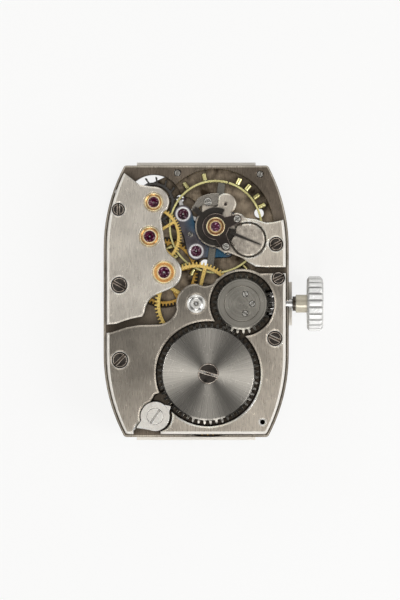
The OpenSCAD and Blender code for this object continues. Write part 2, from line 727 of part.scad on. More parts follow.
module barrel_bridge() color(nickel) difference() {
    bridge_blank(barrel_edge);
    disc(centre, centre_tip + wheel_room, plate_thickness - cut, hollow_z - plate_thickness);
    disc(barrel, barrel_tip + drum_room, plate_thickness - cut, 0.1);
    disc(balance, balance_room, plate_thickness - cut, 0.3);
    // recess of the ratchet wheel and the crown wheel
    disc(barrel, ratchet_tip + recess_gap, recess_z, 2);
    disc(crown_axis, crown_wheel_tip + recess_gap + 0.06, recess_z, 2);
    disc(barrel, arbor_neck + bearing_gap, plate_thickness - cut, 2);
    disc(centre, bush_body, plate_thickness - cut, 2);
    disc(centre, bush_flange, bridge_z - bush_flange_height, 1);
    for (i = [2, 3]) bridge_screw_hole(bridge_screw_list[i]);
    // hole of the setting lever's screw
    disc(lever_pivot, lever_screw_head + screw_hole_gap, bridge_z - screw_head_height - screw_sink, 1);
    disc(lever_pivot, lever_shank + bearing_gap, plate_thickness - cut, 2);
    for (a = core_screw_angles)
        disc(crown_axis + polar(core_screw_ring, a), core_head / 2, recess_z - 0.5, 1);
    // click, its spring and the openings beside them
    disc(click_axis, click_radius + 0.09, click_floor, 2);
    disc(click_axis + [0.13, 0], click_radius + 0.1, click_floor, 2);
    plate(click_tail_room, click_floor, 2);
    disc(click_axis, screw_shank, plate_thickness + 0.3, 2);
    plate(click_notch, plate_thickness + 0.35, 2);
    plate(click_tail_notch, plate_thickness - cut, 2);
    for (i = [0, 1]) disc(steady_pins[i], steady_radius, plate_thickness - cut, 0.8);
    disc(steady_pins[0], steady_radius + 0.02, plate_thickness + 0.8, 2);
    // room for the stem, the clutch and the winding pinion
    on_stem(winding_pinion_x - 0.27)
        cylinder(r = winding_tip + 0.08, h = winding_pinion_length + 0.32);
    on_stem(clutch_x - stem_travel - 0.1)
        cylinder(r = clutch_radius + 0.07, h = clutch_end - clutch_x + stem_travel);
    on_stem(winding_pinion_x) cylinder(r = stem_radius + bearing_gap, h = 3);
}
click_tail_notch = [
    [-4.5, -10.5], [-5.2, -10.83], [-5.46, -11.05], [-5.46, -12], [-3.05, -12], [-3.1, -11.1], [-3.3, -10.95]
];
click_tail_room = [click_place(1.2, 192), [-5.2, -10.58], [-5.33, -10.84], [-4.5, -11.2], click_place(1.2, 254)];

module cock_nose_shape() {
    translate(balance) circle(r = regulator_ring + 0.1);
    polygon(concat([balance + polar(1.5, 30)], arc(balance, 2.62, 62, 118, 8), [balance + polar(1.5, 150)]));
    translate(stud_lobe) circle(r = 0.92);
}

module balance_cock() color(nickel) difference() {
    union() {
        difference() {
            bridge_blank(cock_edge);
            disc(balance, balance_room, plate_thickness - cut, nose_z - plate_thickness + cut);
        }
        translate([0, 0, nose_z]) linear_extrude(shelf_z - nose_z) cock_nose_shape();
    }
    // shelf for the regulator ring round the cap
    disc(balance, regulator_ring + 0.12, shelf_z, 1);
    disc(balance, upper_jewel, nose_z - cut, 2);
    bridge_screw_hole(bridge_screw_list[4]);
    for (i = [4, 5]) disc(steady_pins[i], steady_radius, plate_thickness - cut, 0.8);
    for (p = cap_screws) disc(p, small_head / 2, bridge_z - 0.55, 1);
    disc(clamp_screw, small_head / 2, nose_z - cut, 2);
    // step that the stud's clamp plate lies on
    plate(concat([balance + polar(1.8, 84)], arc(balance, 3.2, 84, 150, 8), [balance + polar(1.8, 150)]), clamp_z, 1);
    disc(stud_place, stud_radius, nose_z - cut, 2);
    // groove round the field of the regulator's scale
    translate([0, 0, bridge_z - 0.3]) linear_extrude(1) difference() {
        polygon(link(field_tip, 0.5, field_end, field_radius));
        polygon(link(field_tip, 0.5 - field_groove, field_end, field_radius - field_groove));
        translate(balance) circle(r = 1.5);
    }
}

module pallet_bridge() color(blue_steel) difference() {
    translate([0, 0, pallet_bridge_z]) linear_extrude(pallet_bridge_thickness)
        pallet_bridge_shape();
    for (p = [pallet, seconds]) disc(p, small_jewel, pallet_bridge_z - cut, 1);
    for (p = [pallet_screw, pallet_leg_screw]) disc(p, small_head / 2, pallet_bridge_z - cut, 1);
}

module bridge_screws() color(black_steel)
    for (s = bridge_screw_list)
        screw(s[0], bridge_z - screw_sink, screw_radius(s), screw_head_height, screw_shank, bridge_height + 1, s[2]);

module setting_lever_screw() color(black_steel)
    screw(lever_pivot, bridge_z - screw_sink, lever_screw_head, screw_head_height, lever_shank,
        bridge_z - screw_sink - keyless_z, 25);

module small_screws() color(steel) {
    shank = small_head / 2;
    for (a = core_screw_angles)
        screw(crown_axis + polar(core_screw_ring, a), bridge_z - 0.02, core_head, 0.15,
            core_head / 2, 1.1, a + 40);
    screw(cap_screws[0], bridge_z + 0.3, small_head, 0.18, shank, 0.8, 35);
    screw(cap_screws[1], bridge_z + 0.3, small_head, 0.18, shank, 0.8, -20);
    screw(clamp_screw, clamp_z + clamp_thickness + 0.16, small_head + 0.05, 0.16, shank, 0.7, 10);
    for (i = [0, 1])
        screw([pallet_screw, pallet_leg_screw][i], pallet_bridge_z + pallet_bridge_thickness + 0.06,
            pallet_heads[i], 0.06, shank, 0.7, 60);
    for (p = dial_screws) screw(p, plate_thickness - 0.02, small_head, 0.2, shank, 0.8, 60);
    for (a = lower_cap_screws) mirror([0, 0, 1])
        screw(balance + polar(0.72, a), -lower_cap_z, 0.2, 0.1, 0.12, 0.42, 20);
    for (p = cover_posts) mirror([0, 0, 1])
        screw(p, -cover_z, 0.26, 0.1, cover_shank, 0.7, 70);
}

module plate_pins() color(steel) {
    for (p = steady_pins) disc(p, steady_radius, 1.1, plate_thickness + 0.75 - 1.1);
    for (s = [-1, 1]) disc(banking(s), banking_radius, safety_z - 0.35, 0.75);
}

// A polished gold setting with a dished top
module chaton(p, r, bore, z0, z1) turned(p, [
    [bore, z0], [r, z0], [r, z1], [r - 0.06, z1], [bore + 0.16, z1 - 0.24], [bore, z1 - 0.24]
]);

module gold_chatons() color(gold) {
    for (p = [escape, fourth, third])
        chaton(p, chaton_of(p), jewel_of(p), hollow_z + 0.03, bridge_z + 0.02);
    chaton(balance, cap_chaton, cap_stone, shelf_z + 0.1, bridge_z + 0.2);
}

// A jewel with its pivot hole and an oil sink on top
module jewel(p, r, bore, z, thickness) turned(p, [
    [bore, z], [r, z], [r, z + thickness], [r * 0.62, z + thickness],
    [bore, z + thickness * 0.62]
]);

module upper_jewels() color(ruby) {
    for (p = [escape, fourth, third])
        jewel(p, jewel_of(p), (p == third ? third_pivot : fine_pivot) + bearing_gap, jewel_z, jewel_thickness + 0.2);
    for (p = [pallet, seconds])
        jewel(p, small_jewel, fine_pivot + bearing_gap, pallet_bridge_z, pallet_bridge_thickness);
    jewel(balance, upper_jewel, fine_pivot + bearing_gap, nose_z, 0.3);
    disc(balance, cap_stone, nose_z + 0.4, bridge_z - nose_z - 0.32);
}

// The jewels in the plate have their oil sinks on the dial side
module lower_jewels() color(ruby) {
    for (p = [escape, fourth, third])
        lower_hole_jewel(p, lower_jewel_z, p == third ? third_pivot : fine_pivot);
    lower_hole_jewel(pallet, 0.3, fine_pivot);
    lower_hole_jewel(balance, lower_hole_z, fine_pivot);
    disc(balance, lower_jewel, lower_cap_depth - 0.09, 0.1);
}
module lower_hole_jewel(p, z, pivot) turned(p, [
    [pivot + bearing_gap, z + 0.1], [lower_jewel * 0.6, z], [lower_jewel, z],
    [lower_jewel, z + 0.26], [pivot + bearing_gap, z + 0.26]
]);

module lower_cap() color(steel) difference() {
    disc(balance, lower_cap_radius, lower_cap_z, lower_cap_depth - 0.09 - lower_cap_z);
    for (a = lower_cap_screws) {
        disc(balance + polar(0.72, a), 0.2, -cut, lower_cap_z + 0.1 + cut);
        disc(balance + polar(0.72, a), 0.13, -cut, 1);
    }
}

module centre_bush() color(steel) turned(centre, [
    [centre_pivot + bearing_gap, hollow_z + 0.02], [bush_body, hollow_z + 0.02],
    [bush_body, bridge_z - bush_flange_height], [bush_flange, bridge_z - bush_flange_height],
    [bush_flange, bridge_z], [bush_flange - 0.08, bridge_z], [bush_flange - 0.2, bridge_z - 0.1],
    [0.46, bridge_z - 0.04], [0.3, bridge_z - 0.04], [centre_pivot + bearing_gap, bridge_z - 0.2]
]);

// Fixed core that the crown wheel turns on, with a flat cap
module crown_wheel_core() color(steel) difference() {
    turned(crown_axis, [
        [0, recess_z], [core_hub, recess_z], [core_hub, bridge_z - 0.32],
        [core_radius, bridge_z - 0.32], [core_radius, bridge_z - 0.06], [core_radius - 0.04, bridge_z - 0.02],
        [0, bridge_z - 0.02]
    ]);
    for (a = core_screw_angles) {
        disc(crown_axis + polar(core_screw_ring, a), core_head + 0.03, bridge_z - 0.17, 1);
        disc(crown_axis + polar(core_screw_ring, a), core_head / 2, recess_z - cut, 1);
    }
}

// A winding wheel whose upper face slopes down over the teeth
module winding_wheel(p, tip, points) {
    top = ratchet_z + winding_thickness;
    intersection() {
        at(p, ratchet_z) linear_extrude(winding_thickness) polygon(points);
        turned(p, [
            [0, ratchet_z - cut], [tip + cut, ratchet_z - cut], [tip + cut, top - tooth_slope],
            [tip - tooth_band, top], [tip - tooth_band, top + cut], [0, top + cut]
        ]);
    }
}

module crown_wheel() color(steel) difference() {
    winding_wheel(crown_axis, crown_wheel_tip, gear(crown_wheel_teeth, winding_module, crown_phase));
    disc(crown_axis, core_hub + bearing_gap, ratchet_z - cut, 1);
    disc(crown_axis, core_radius + bearing_gap, bridge_z - 0.34, 1);
}
module linear_extrude_from(z, height) translate([0, 0, z]) linear_extrude(height) children();

module ratchet_wheel() color(steel) difference() {
    winding_wheel(barrel, ratchet_tip, gear(ratchet_teeth, winding_module, ratchet_phase));
    translate([barrel_x - arbor_square / 2, barrel_y - arbor_square / 2, ratchet_z - cut])
        cube([arbor_square, arbor_square, 1]);
}

module ratchet_screw() color(black_steel)
    screw(barrel, ratchet_z + winding_thickness + 0.1, 0.91, 0.1, 0.25, 0.75, -16);

module barrel_arbor() color(steel) difference() {
    union() {
        turned(barrel, [
            [0, 0.03], [arbor_pivot, 0.03], [arbor_pivot, barrel_floor + 0.02],
            [arbor_neck, barrel_floor + 0.02], [arbor_neck, barrel_z + 0.24], [arbor_hub, barrel_z + 0.24],
            [arbor_hub, barrel_top - 0.21], [arbor_neck, barrel_top - 0.21], [arbor_neck, recess_z + 0.04],
            [0, recess_z + 0.04]
        ]);
        translate([barrel_x - arbor_square / 2, barrel_y - arbor_square / 2, recess_z])
            cube([arbor_square, arbor_square, ratchet_z + winding_thickness - 0.02 - recess_z]);
    }
    disc(barrel, 0.25, ratchet_z + winding_thickness - 0.7, 1);
}

module barrel_drum() color(gilt) difference() {
    union() {
        disc(barrel, drum_radius, barrel_z, barrel_top - barrel_z);
        at(barrel) linear_extrude_from(rim_z, rim_height)
            polygon(gear(barrel_teeth, barrel_module, barrel_phase));
    }
    disc(barrel, drum_radius - drum_wall, barrel_z + 0.2, 2);
    disc(barrel, cover_radius, barrel_top - 0.16, 2);
    disc(barrel, arbor_neck + bearing_gap, 0, 1);
}

module barrel_cover() color(gilt)
    ring(barrel, cover_radius, arbor_neck + bearing_gap, barrel_top - 0.16, 0.15);

module mainspring() color(blue_steel)
    at(barrel) linear_extrude_from(barrel_z + 0.26, barrel_top - 0.24 - barrel_z - 0.26)
        polygon(spiral(arbor_hub + mainspring_strip / 2, drum_radius - drum_wall - mainspring_strip / 2 - 0.01,
            mainspring_turns, mainspring_strip, 40));

module click() color(nickel) difference() {
    translate([0, 0, click_floor + 0.02]) linear_extrude(click_thickness) {
        translate(click_axis) circle(r = click_radius);
        polygon([
            click_place(1.2, 58), beak_tip + polar(0.05, 118), beak_tip + polar(0.05, -20), click_place(1.2, 12)
        ]);
        polygon([click_place(1.25, 196), [-5.14, -10.66], [-5.2, -10.8], [-4.45, -10.9], click_place(1.25, 254)]);
    }
    disc(click_axis, screw_shank + bearing_gap, click_floor - cut, 1);
    disc(click_axis, click_screw_head + bearing_gap, click_floor + click_thickness - 0.1, 1);
}

module click_screw() color(black_steel)
    screw(click_axis, click_floor + click_thickness + 0.08, click_screw_head, 0.16, screw_shank, 1.25, 55);

// Wire that presses the click towards the ratchet wheel, in the crescent beside it
module click_spring() color(steel)
    at(click_axis, click_floor + 0.04) linear_extrude(0.14) difference() {
        circle(r = click_radius + 0.13);
        circle(r = click_radius + 0.05);
        polygon([[0, 0], polar(4, -70), polar(4, -150), polar(4, 150), polar(4, 60), polar(4, -8)]);
    }

// Dark polished plate over the balance pivot, with two ears for its screws
module endstone_cap() color(black_steel) difference() {
    union() {
        disc(balance, cap_radius, shelf_z + 0.02, bridge_z + 0.12 - shelf_z - 0.02);
        for (p = cap_screws)
            plate(link(balance, cap_neck, p, 0.4), bridge_z, 0.12);
    }
    disc(balance, cap_chaton, shelf_z + 0.1, 1);
    disc(balance, cap_stone, shelf_z - cut, 1);
    for (p = cap_screws) disc(p, small_head / 2, bridge_z - cut, 1);
}

// Open ring that turns on the cap, with its index arm and the short arm that carries the curb pins
module regulator() color(black_steel) {
    ring_top = bridge_z - 0.05;
    difference() {
        union() {
            ring(balance, regulator_ring, cap_radius + 0.04, shelf_z + 0.02, ring_top - shelf_z - 0.02);
            // short arm
            at(balance, shelf_z + 0.02) rotate(boot_angle)
                translate([cap_radius + 0.08, -0.22, 0]) cube([1.25, 0.44, ring_top - shelf_z - 0.02]);
        }
        at(balance, shelf_z) linear_extrude(1)
            polygon([[0, 0], polar(4, 62), polar(4, 30), polar(4, index_angle + 14)]);
    }
    // index arm above the cock
    at(balance) rotate(index_angle) {
        translate([1.38, -0.14, shelf_z + 0.05]) cube([0.28, 0.28, bridge_z + 0.1 - shelf_z - 0.05]);
        plate([[1.4, -0.14], [4.1, -0.07], [4.28, 0], [4.1, 0.07], [1.4, 0.14]], bridge_z + 0.02, 0.08);
    }
    // curb pins either side of the hairspring
    for (r = [hairspring_radius - 0.13, hairspring_radius + 0.11])
        disc(balance + polar(r, boot_angle), 0.05, spring_z - 0.02, shelf_z + 0.05 - spring_z);
}

// Plate that clamps the hairspring's stud, held by its own screw
module stud_clamp() color(nickel) difference() {
    plate(concat(arc(balance, 2.9, 84, 122, 8), [balance + polar(2.6, 146)], arc(balance, 2.2, 144, 108, 6),
        arc(balance, 1.84, 104, 84, 4)), clamp_z, clamp_thickness);
    disc(clamp_screw, small_head / 2, clamp_z - cut, 1);
}

module hairspring_stud() color(steel)
    disc(stud_place, stud_radius, spring_z - 0.02, shelf_z - spring_z + 0.02);

module hairspring() color(blue_steel)
    at(balance, spring_z) linear_extrude(spring_height)
        polygon(spiral(collet_radius, hairspring_radius, hairspring_turns, 0.04, 66));

module hairspring_collet() color(brass)
    ring(balance, collet_radius - 0.02, staff_seat, spring_z - 0.1, spring_height + 0.18);

module balance_wheel() color(brass) translate([balance_x, balance_y, 0]) {
    difference() {
        linear_extrude_from(rim_bottom, balance_height) difference() {
            circle(r = balance_radius);
            circle(r = balance_radius - balance_rim);
            for (s = [0, 180]) rotate(cut_angle + s)
                translate([balance_radius - 1, -0.06]) square([2, 0.12]);
        }
    }
    linear_extrude_from(rim_bottom + 0.12, 0.17) difference() {
        union() {
            intersection() {
                circle(r = balance_radius - balance_rim / 2);
                rotate(balance_arm_angle)
                    translate([-balance_radius, -balance_arm_width / 2])
                    square([2 * balance_radius, balance_arm_width]);
            }
            circle(r = 0.7);
        }
        circle(r = balance_seat);
    }
}

module balance_screws() color(brass)
    for (side = [0, 180]) for (a = timing_angles)
        at(balance, rim_bottom + balance_height / 2) rotate([0, 90, a + side]) difference() {
            union() {
                cylinder(r = 0.09, h = balance_sweep - 0.2);
                translate([0, 0, balance_radius + 0.06])
                    cylinder(r = balance_screw_head, h = balance_screw_reach - 0.06);
            }
            cylinder(r = 1, h = balance_radius);
            translate([-0.03, -0.5, balance_sweep - 0.08]) cube([0.06, 1, 0.2]);
        }

module balance_staff() color(steel) turned(balance, [
    [0, lower_cap_depth + 0.03], [fine_pivot, lower_cap_depth + 0.03], [fine_pivot, safety_z - 0.1],
    [0.14, safety_z - 0.06], [0.14, roller_z + 0.18], [0.45, rim_bottom - 0.12], [0.45, rim_bottom + 0.12],
    [balance_seat, rim_bottom + 0.12], [balance_seat, rim_bottom + 0.31], [staff_seat, rim_bottom + 0.31],
    [staff_seat, nose_z - 0.16], [0.1, nose_z - 0.06], [fine_pivot, nose_z - 0.02],
    [fine_pivot, nose_z + 0.38], [0, nose_z + 0.38]
]);

// Double roller: the large disc carries the impulse jewel, the small one guards the fork
module roller() color(steel) difference() {
    turned(balance, [
        [0.14, safety_z], [safety_radius, safety_z], [safety_radius, safety_z + 0.13],
        [0.24, safety_z + 0.13], [0.24, roller_z], [roller_radius, roller_z],
        [roller_radius, roller_z + 0.13], [0.14, roller_z + 0.13]
    ]);
    disc(balance + polar(safety_radius + 0.05, escapement_line + 180), 0.16, safety_z - cut, 0.13 + 2 * cut);
    disc(balance + polar(impulse_radius, escapement_line + 180), impulse_pin, roller_z - cut, 1);
}

module impulse_jewel() color(ruby)
    disc(balance + polar(impulse_radius, escapement_line + 180), impulse_pin,
        fork_z - 0.01, roller_z + 0.13 - fork_z + 0.01);

// Steel club-toothed wheel that turns clockwise seen from the bridges
module escape_wheel() color(steel) at(escape) {
    step = 360 / escape_teeth;
    points = [for (i = [0:escape_teeth - 1]) let (a = escapement_line + 12 + i * step) each [
        polar(escape_root, a - 9), polar(escape_tip - 0.28, a - 5.5), polar(escape_tip - 0.1, a - 5),
        polar(escape_tip, a - 0.5), polar(escape_tip - 0.12, a), polar(escape_root + 0.04, a - 3.4)
    ]];
    spoked(points, low_wheel_z - 0.03, 0.14, escape_root - 0.26, 0.42, 0.22, 4, 0.2, 20);
}

module escape_pinion() color(steel) arbor(escape, 0.22, low_wheel_z - 0.03, 0.14, 0.15, fine_pivot,
    pinion(escape_leaves, fourth_module, meshed(fourth_phase, fourth_teeth, fourth_phase, escape_leaves)),
    leaf_z, leaf_height);

// An arbor with a seat for its wheel and a set of leaves
module arbor(p, seat, seat_z, seat_height, core, pivot, leaves, leaves_z, leaves_height) {
    top = jewel_z + jewel_thickness;
    turned(p, [
        [0, lower_jewel_z + 0.06], [pivot, lower_jewel_z + 0.06], [pivot, pocket_z - 0.03],
        [core, pocket_z + 0.03], [core, seat_z], [seat, seat_z], [seat, seat_z + seat_height],
        [core, seat_z + seat_height], [core, jewel_z - 0.05], [pivot, jewel_z - 0.02], [pivot, top], [0, top]
    ]);
    at(p) linear_extrude_from(leaves_z, leaves_height) polygon(leaves);
}

module fourth_wheel() color(gilt) at(fourth)
    spoked(gear(fourth_teeth, fourth_module, fourth_phase), high_wheel_z, wheel_thickness,
        fourth_tip - 0.42, 0.62, 0.25, 5, 0.26, 31);

module fourth_pinion() color(steel) arbor(fourth, 0.25, high_wheel_z, wheel_thickness, 0.2, fine_pivot,
    pinion(fourth_leaves, third_module, meshed(third_phase, third_teeth, third_phase, fourth_leaves)),
    low_wheel_z - 0.07, wheel_thickness + 0.14);

module third_wheel() color(gilt) at(third)
    spoked(gear(third_teeth, third_module, third_phase), low_wheel_z, wheel_thickness,
        third_tip - 0.45, 0.7, 0.28, 5, 0.28, 10);

module third_pinion() color(steel) arbor(third, 0.28, low_wheel_z, wheel_thickness, 0.2, third_pivot,
    pinion(third_leaves, centre_module, meshed(centre_phase, centre_teeth, centre_phase, third_leaves)),
    leaf_z, leaf_height);

// Pinion beside the train whose long lower end carries the small seconds hand
module seconds_pinion() color(steel) {
    turned(seconds, [
        [0, -seconds_reach], [seconds_seat, -seconds_reach], [seconds_seat, -0.02], [seconds_arbor, 0],
        [seconds_arbor, pocket_z + 0.03], [0.18, pocket_z + 0.03],
        [0.18, pallet_bridge_z - 0.04], [fine_pivot, pallet_bridge_z - 0.02],
        [fine_pivot, pallet_bridge_z + pallet_bridge_thickness], [0, pallet_bridge_z + pallet_bridge_thickness]
    ]);
    at(seconds) linear_extrude_from(low_wheel_z - 0.05, wheel_thickness + 0.1)
        polygon(pinion(fourth_leaves, third_module,
            meshed(third_phase, third_teeth, mesh_angle(seconds - third), fourth_leaves)));
}

module centre_wheel() color(gilt) at(centre)
    spoked(gear(centre_teeth, centre_module, centre_phase), high_wheel_z, wheel_thickness,
        centre_tip - 0.5, 0.95, 0.45, 5, 0.32, 76);

module centre_pinion() color(steel) {
    turned(centre, [
        [0, -arbor_end], [arbor_tail, -arbor_end], [arbor_tail, motion_ceiling + 0.08],
        [centre_arbor, motion_ceiling + 0.12], [centre_arbor, rim_z - 0.1], [0.5, rim_z - 0.1],
        [0.5, high_wheel_z], [0.45, high_wheel_z], [0.45, high_wheel_z + wheel_thickness],
        [0.25, high_wheel_z + wheel_thickness], [0.25, hollow_z - 0.03], [centre_pivot, hollow_z],
        [centre_pivot, bridge_z - 0.22], [0, bridge_z - 0.22]
    ]);
    at(centre) linear_extrude_from(rim_z - 0.05, rim_height + 0.1)
        polygon(pinion(centre_leaves, barrel_module,
            meshed(barrel_phase, barrel_teeth, barrel_phase, centre_leaves)));
}

// Lever with two stone arms, a notch for the impulse jewel and a guard dart
module pallet_fork() color(steel) {
    at(pallet, fork_z) rotate(escapement_line) linear_extrude(fork_thickness) difference() {
        union() {
            polygon(link([0, 0], 0.3, [fork_length - 0.45, 0], 0.1, 8));
            polygon(link([0, 0], 0.3, [-0.62, 1.0], 0.14, 8));
            polygon(link([0, 0], 0.3, [-0.62, -1.0], 0.14, 8));
            polygon([
                [fork_length - 0.55, -0.14], [fork_length - 0.3, -0.32], [fork_length + 0.02, -0.36],
                [fork_length + 0.1, -0.27], [fork_length - 0.06, 0], [fork_length + 0.1, 0.27],
                [fork_length + 0.02, 0.36], [fork_length - 0.3, 0.32], [fork_length - 0.55, 0.14]
            ]);
        }
        translate([fork_length - 0.18, -notch / 2]) square([1, notch]);
        for (s = [-1, 1]) stone_slot(s, stone_width);
    }
    turned(pallet, [
        [0, 0.36], [fine_pivot, 0.36], [fine_pivot, safety_z - 0.06], [0.15, safety_z],
        [0.15, pallet_bridge_z - 0.06], [fine_pivot, pallet_bridge_z - 0.03],
        [fine_pivot, pallet_bridge_z + pallet_bridge_thickness], [0, pallet_bridge_z + pallet_bridge_thickness]
    ]);
    at(pallet, fork_z - 0.18) rotate(escapement_line) linear_extrude(0.18 + cut)
        polygon([[fork_length - 0.45, -0.09], [guard_reach, -0.03], [guard_reach, 0.03], [fork_length - 0.45, 0.09]]);
}

// Slots across the fork's arms that the stones sit in, towards the escape wheel
module stone_slot(side, width) {
    tip = polar(escape_tip + stone_gap, stone_spread * side) - [pallet_distance, 0];
    translate(tip) rotate(side * stone_spread - side * 12) translate([0, -width / 2]) square([stone_length, width]);
}

module pallet_stones() color(ruby)
    at(pallet, fork_z - 0.03) rotate(escapement_line) linear_extrude(fork_thickness + 0.06)
        for (s = [-1, 1]) stone_slot(s, stone_width);

// Winding stem: pivot, square for the clutch, round seat for the winding pinion, groove and thread
module winding_stem() color(steel) {
    round_x = winding_pinion_x - 0.12;
    on_stem(0) rotate_extrude() polygon([
        [0, stem_inner_x + 0.1], [stem_pivot, stem_inner_x + 0.1], [stem_pivot, clutch_x - stem_travel - 0.1],
        [0, clutch_x - stem_travel - 0.1]
    ]);
    translate([clutch_x - stem_travel - 0.12, -stem_square / 2, stem_z - stem_square / 2])
        cube([round_x - clutch_x + stem_travel + 0.14, stem_square, stem_square]);
    on_stem(0) rotate_extrude() polygon([
        [0, round_x], [stem_radius, round_x], [stem_radius, lever_pin_x - 0.2], [stem_groove, lever_pin_x - 0.2],
        [stem_groove, lever_pin_x + 0.2], [stem_radius, lever_pin_x + 0.2], [stem_radius, hub_x],
        [stem_thread, hub_x], [stem_thread, crown_x + 0.4], [0, crown_x + 0.4]
    ]);
}

// Fluted crown with a hub that reaches over the thread
module crown() color(steel) difference() {
    union() {
        on_stem(hub_x) cylinder(r = neck_radius, h = hub_length);
        on_stem(hub_x + neck_length) cylinder(r = crown_hub, h = hub_length - neck_length + 0.1);
        intersection() {
            on_stem(crown_x) linear_extrude(crown_length) polygon(flutes());
            on_stem(crown_x) rotate_extrude($fn = 72) polygon(concat(
                [[0, 0], [crown_radius - 0.22, 0], [crown_radius, 0.16], [crown_radius + 0.04, 0.3]],
                [[crown_radius + 0.04, crown_length - 0.42]],
                arc([crown_radius - 0.44, crown_length - 0.5], 0.5, 15, 80, 5),
                [[0, crown_length]]
            ));
        }
    }
    on_stem(hub_x - cut) cylinder(r = stem_thread, h = hub_length + 0.4 + cut);
}
function flutes() =
    let (step = 360 / crown_flutes, depth = 0.2)
    [for (i = [0:crown_flutes - 1]) each [
        polar(crown_radius, (i - 0.3) * step), polar(crown_radius + 0.03, i * step),
        polar(crown_radius, (i + 0.3) * step), polar(crown_radius - depth * 0.7, (i + 0.4) * step),
        polar(crown_radius - depth, (i + 0.5) * step), polar(crown_radius - depth * 0.7, (i + 0.6) * step)
    ]];

// Face teeth: sectors of a ring, each half a pitch wide
module face_teeth(outer, inner, height, teeth, turn)
    linear_extrude(height) difference() {
        circle(r = outer);
        circle(r = inner);
        for (i = [0:teeth - 1])
            polygon([
                [0, 0], polar(2 * outer, turn + (i - 0.29) * 360 / teeth),
                polar(2 * outer, turn + (i + 0.29) * 360 / teeth)
            ]);
    }

module winding_pinion() color(steel) difference() {
    union() {
        on_stem(winding_pinion_x) cylinder(r = winding_collar, h = winding_pinion_length);
        on_stem(leaves_x) linear_extrude(winding_pinion_x + winding_pinion_length - leaves_x)
            polygon(pinion(winding_leaves, winding_module, winding_turn));
        on_stem(winding_pinion_x - 0.22) face_teeth(clutch_radius, 0.5, 0.24, 12, 0);
    }
    on_stem(winding_pinion_x - 1) cylinder(r = stem_radius + bearing_gap, h = 3);
}

module sliding_pinion() color(steel) difference() {
    union() {
        on_stem(0) rotate_extrude() polygon([
            [0, clutch_x + clutch_tooth], [clutch_radius, clutch_x + clutch_tooth],
            [clutch_radius, groove_x - groove_width / 2], [clutch_groove, groove_x - groove_width / 2],
            [clutch_groove, groove_x + groove_width / 2], [clutch_radius, groove_x + groove_width / 2],
            [clutch_radius, clutch_end - clutch_tooth], [0, clutch_end - clutch_tooth]
        ]);
        on_stem(clutch_x) face_teeth(clutch_radius - 0.02, 0.62, clutch_tooth + cut, 14, 0);
        on_stem(clutch_end - clutch_tooth - cut)
            face_teeth(clutch_radius - 0.02, 0.5, clutch_tooth + cut, 12, 15);
    }
    translate([0, -clutch_bore / 2, stem_z - clutch_bore / 2]) cube([9, clutch_bore, clutch_bore]);
}

module setting_lever() color(steel) {
    pin = [lever_pin_x, 0];
    difference() {
        union() {
            plate(link(lever_pivot, 0.42, pin, 0.2), keyless_z, keyless_thickness);
            plate(link(lever_pivot, 0.42, [5.98, 1.98], 0.14, 8), keyless_z, keyless_thickness);
        }
        disc(lever_pivot, lever_shank + bearing_gap, keyless_z - cut, 1);
    }
    disc(pin, lever_pin_radius, keyless_z + keyless_thickness - cut,
        stem_z - stem_groove - 0.04 - keyless_z - keyless_thickness);
}

module yoke() color(steel) {
    finger = [groove_x, 0];
    difference() {
        union() {
            plate(link(yoke_pivot, 0.36, finger, 0.2), keyless_z, keyless_thickness);
            plate(link(yoke_pivot, 0.36, [5.75, 2.26], 0.12, 8), keyless_z, keyless_thickness);
        }
        disc(yoke_pivot, 0.2 + bearing_gap, keyless_z - cut, 1);
    }
    translate([groove_x - 0.08, -0.2, keyless_z + keyless_thickness - cut])
        cube([0.16, 0.4, stem_z - clutch_groove - 0.07 - keyless_z - keyless_thickness]);
}

// Leaf that presses on the yoke
module yoke_spring() color(blue_steel)
    plate([[4.06, 3.02], [4.06, 2.5], [4.2, 2.5], [4.5, 1.0], [4.57, 1.0], [4.3, 2.6], [4.3, 3.02]],
        keyless_z, 0.18);

module keyless_cover() color(steel) difference() {
    plate([[4.12, -1.18], [7.83, -1.18], [7.83, 2.98], [5.6, 2.98], [4.6, 2.98], [4.12, 2.3]],
        cover_z, cover_thickness);
    for (p = cover_posts) {
        disc(p, 0.26, -cut, cover_z + 0.1 + cut);
        disc(p, cover_shank, -cut, 1);
    }
    disc(lever_pivot, 0.42, -cut, 1);
}

module setting_wheel() color(steel)
    at(setting_axis) linear_extrude_from(motion_z - 0.04, setting_top - motion_z + 0.04) difference() {
        polygon(gear(setting_teeth, cannon_module,
            meshed(minute_phase, minute_teeth, minute_phase, setting_teeth)));
        circle(r = setting_post + bearing_gap);
    }

module minute_wheel() color(gilt) at(minute_axis) difference() {
    union() {
        linear_extrude_from(motion_z, minute_thickness)
            polygon(gear(minute_teeth, cannon_module, minute_phase));
        linear_extrude_from(hour_z, motion_z - hour_z + cut)
            polygon(pinion(minute_leaves, hour_module, minute_phase));
    }
    translate([0, 0, -cut]) cylinder(r = minute_post + bearing_gap, h = 1);
}

module cannon_pinion() color(steel) difference() {
    union() {
        turned(centre, [
            [0, -minute_reach], [minute_seat, -minute_reach], [minute_seat, -hour_reach - 0.02],
            [cannon_sleeve, -hour_reach - 0.02], [cannon_sleeve, motion_z - 0.04],
            [0.3, motion_z - 0.04], [0.3, motion_z], [0, motion_z]
        ]);
        at(centre) linear_extrude_from(motion_z - 0.02, 0.18)
            polygon(pinion(cannon_leaves, cannon_module,
                meshed(minute_phase, minute_teeth, mesh_angle(-minute_axis), cannon_leaves)));
    }
    disc(centre, arbor_tail + bearing_gap, -minute_reach - cut, minute_reach + 1);
}

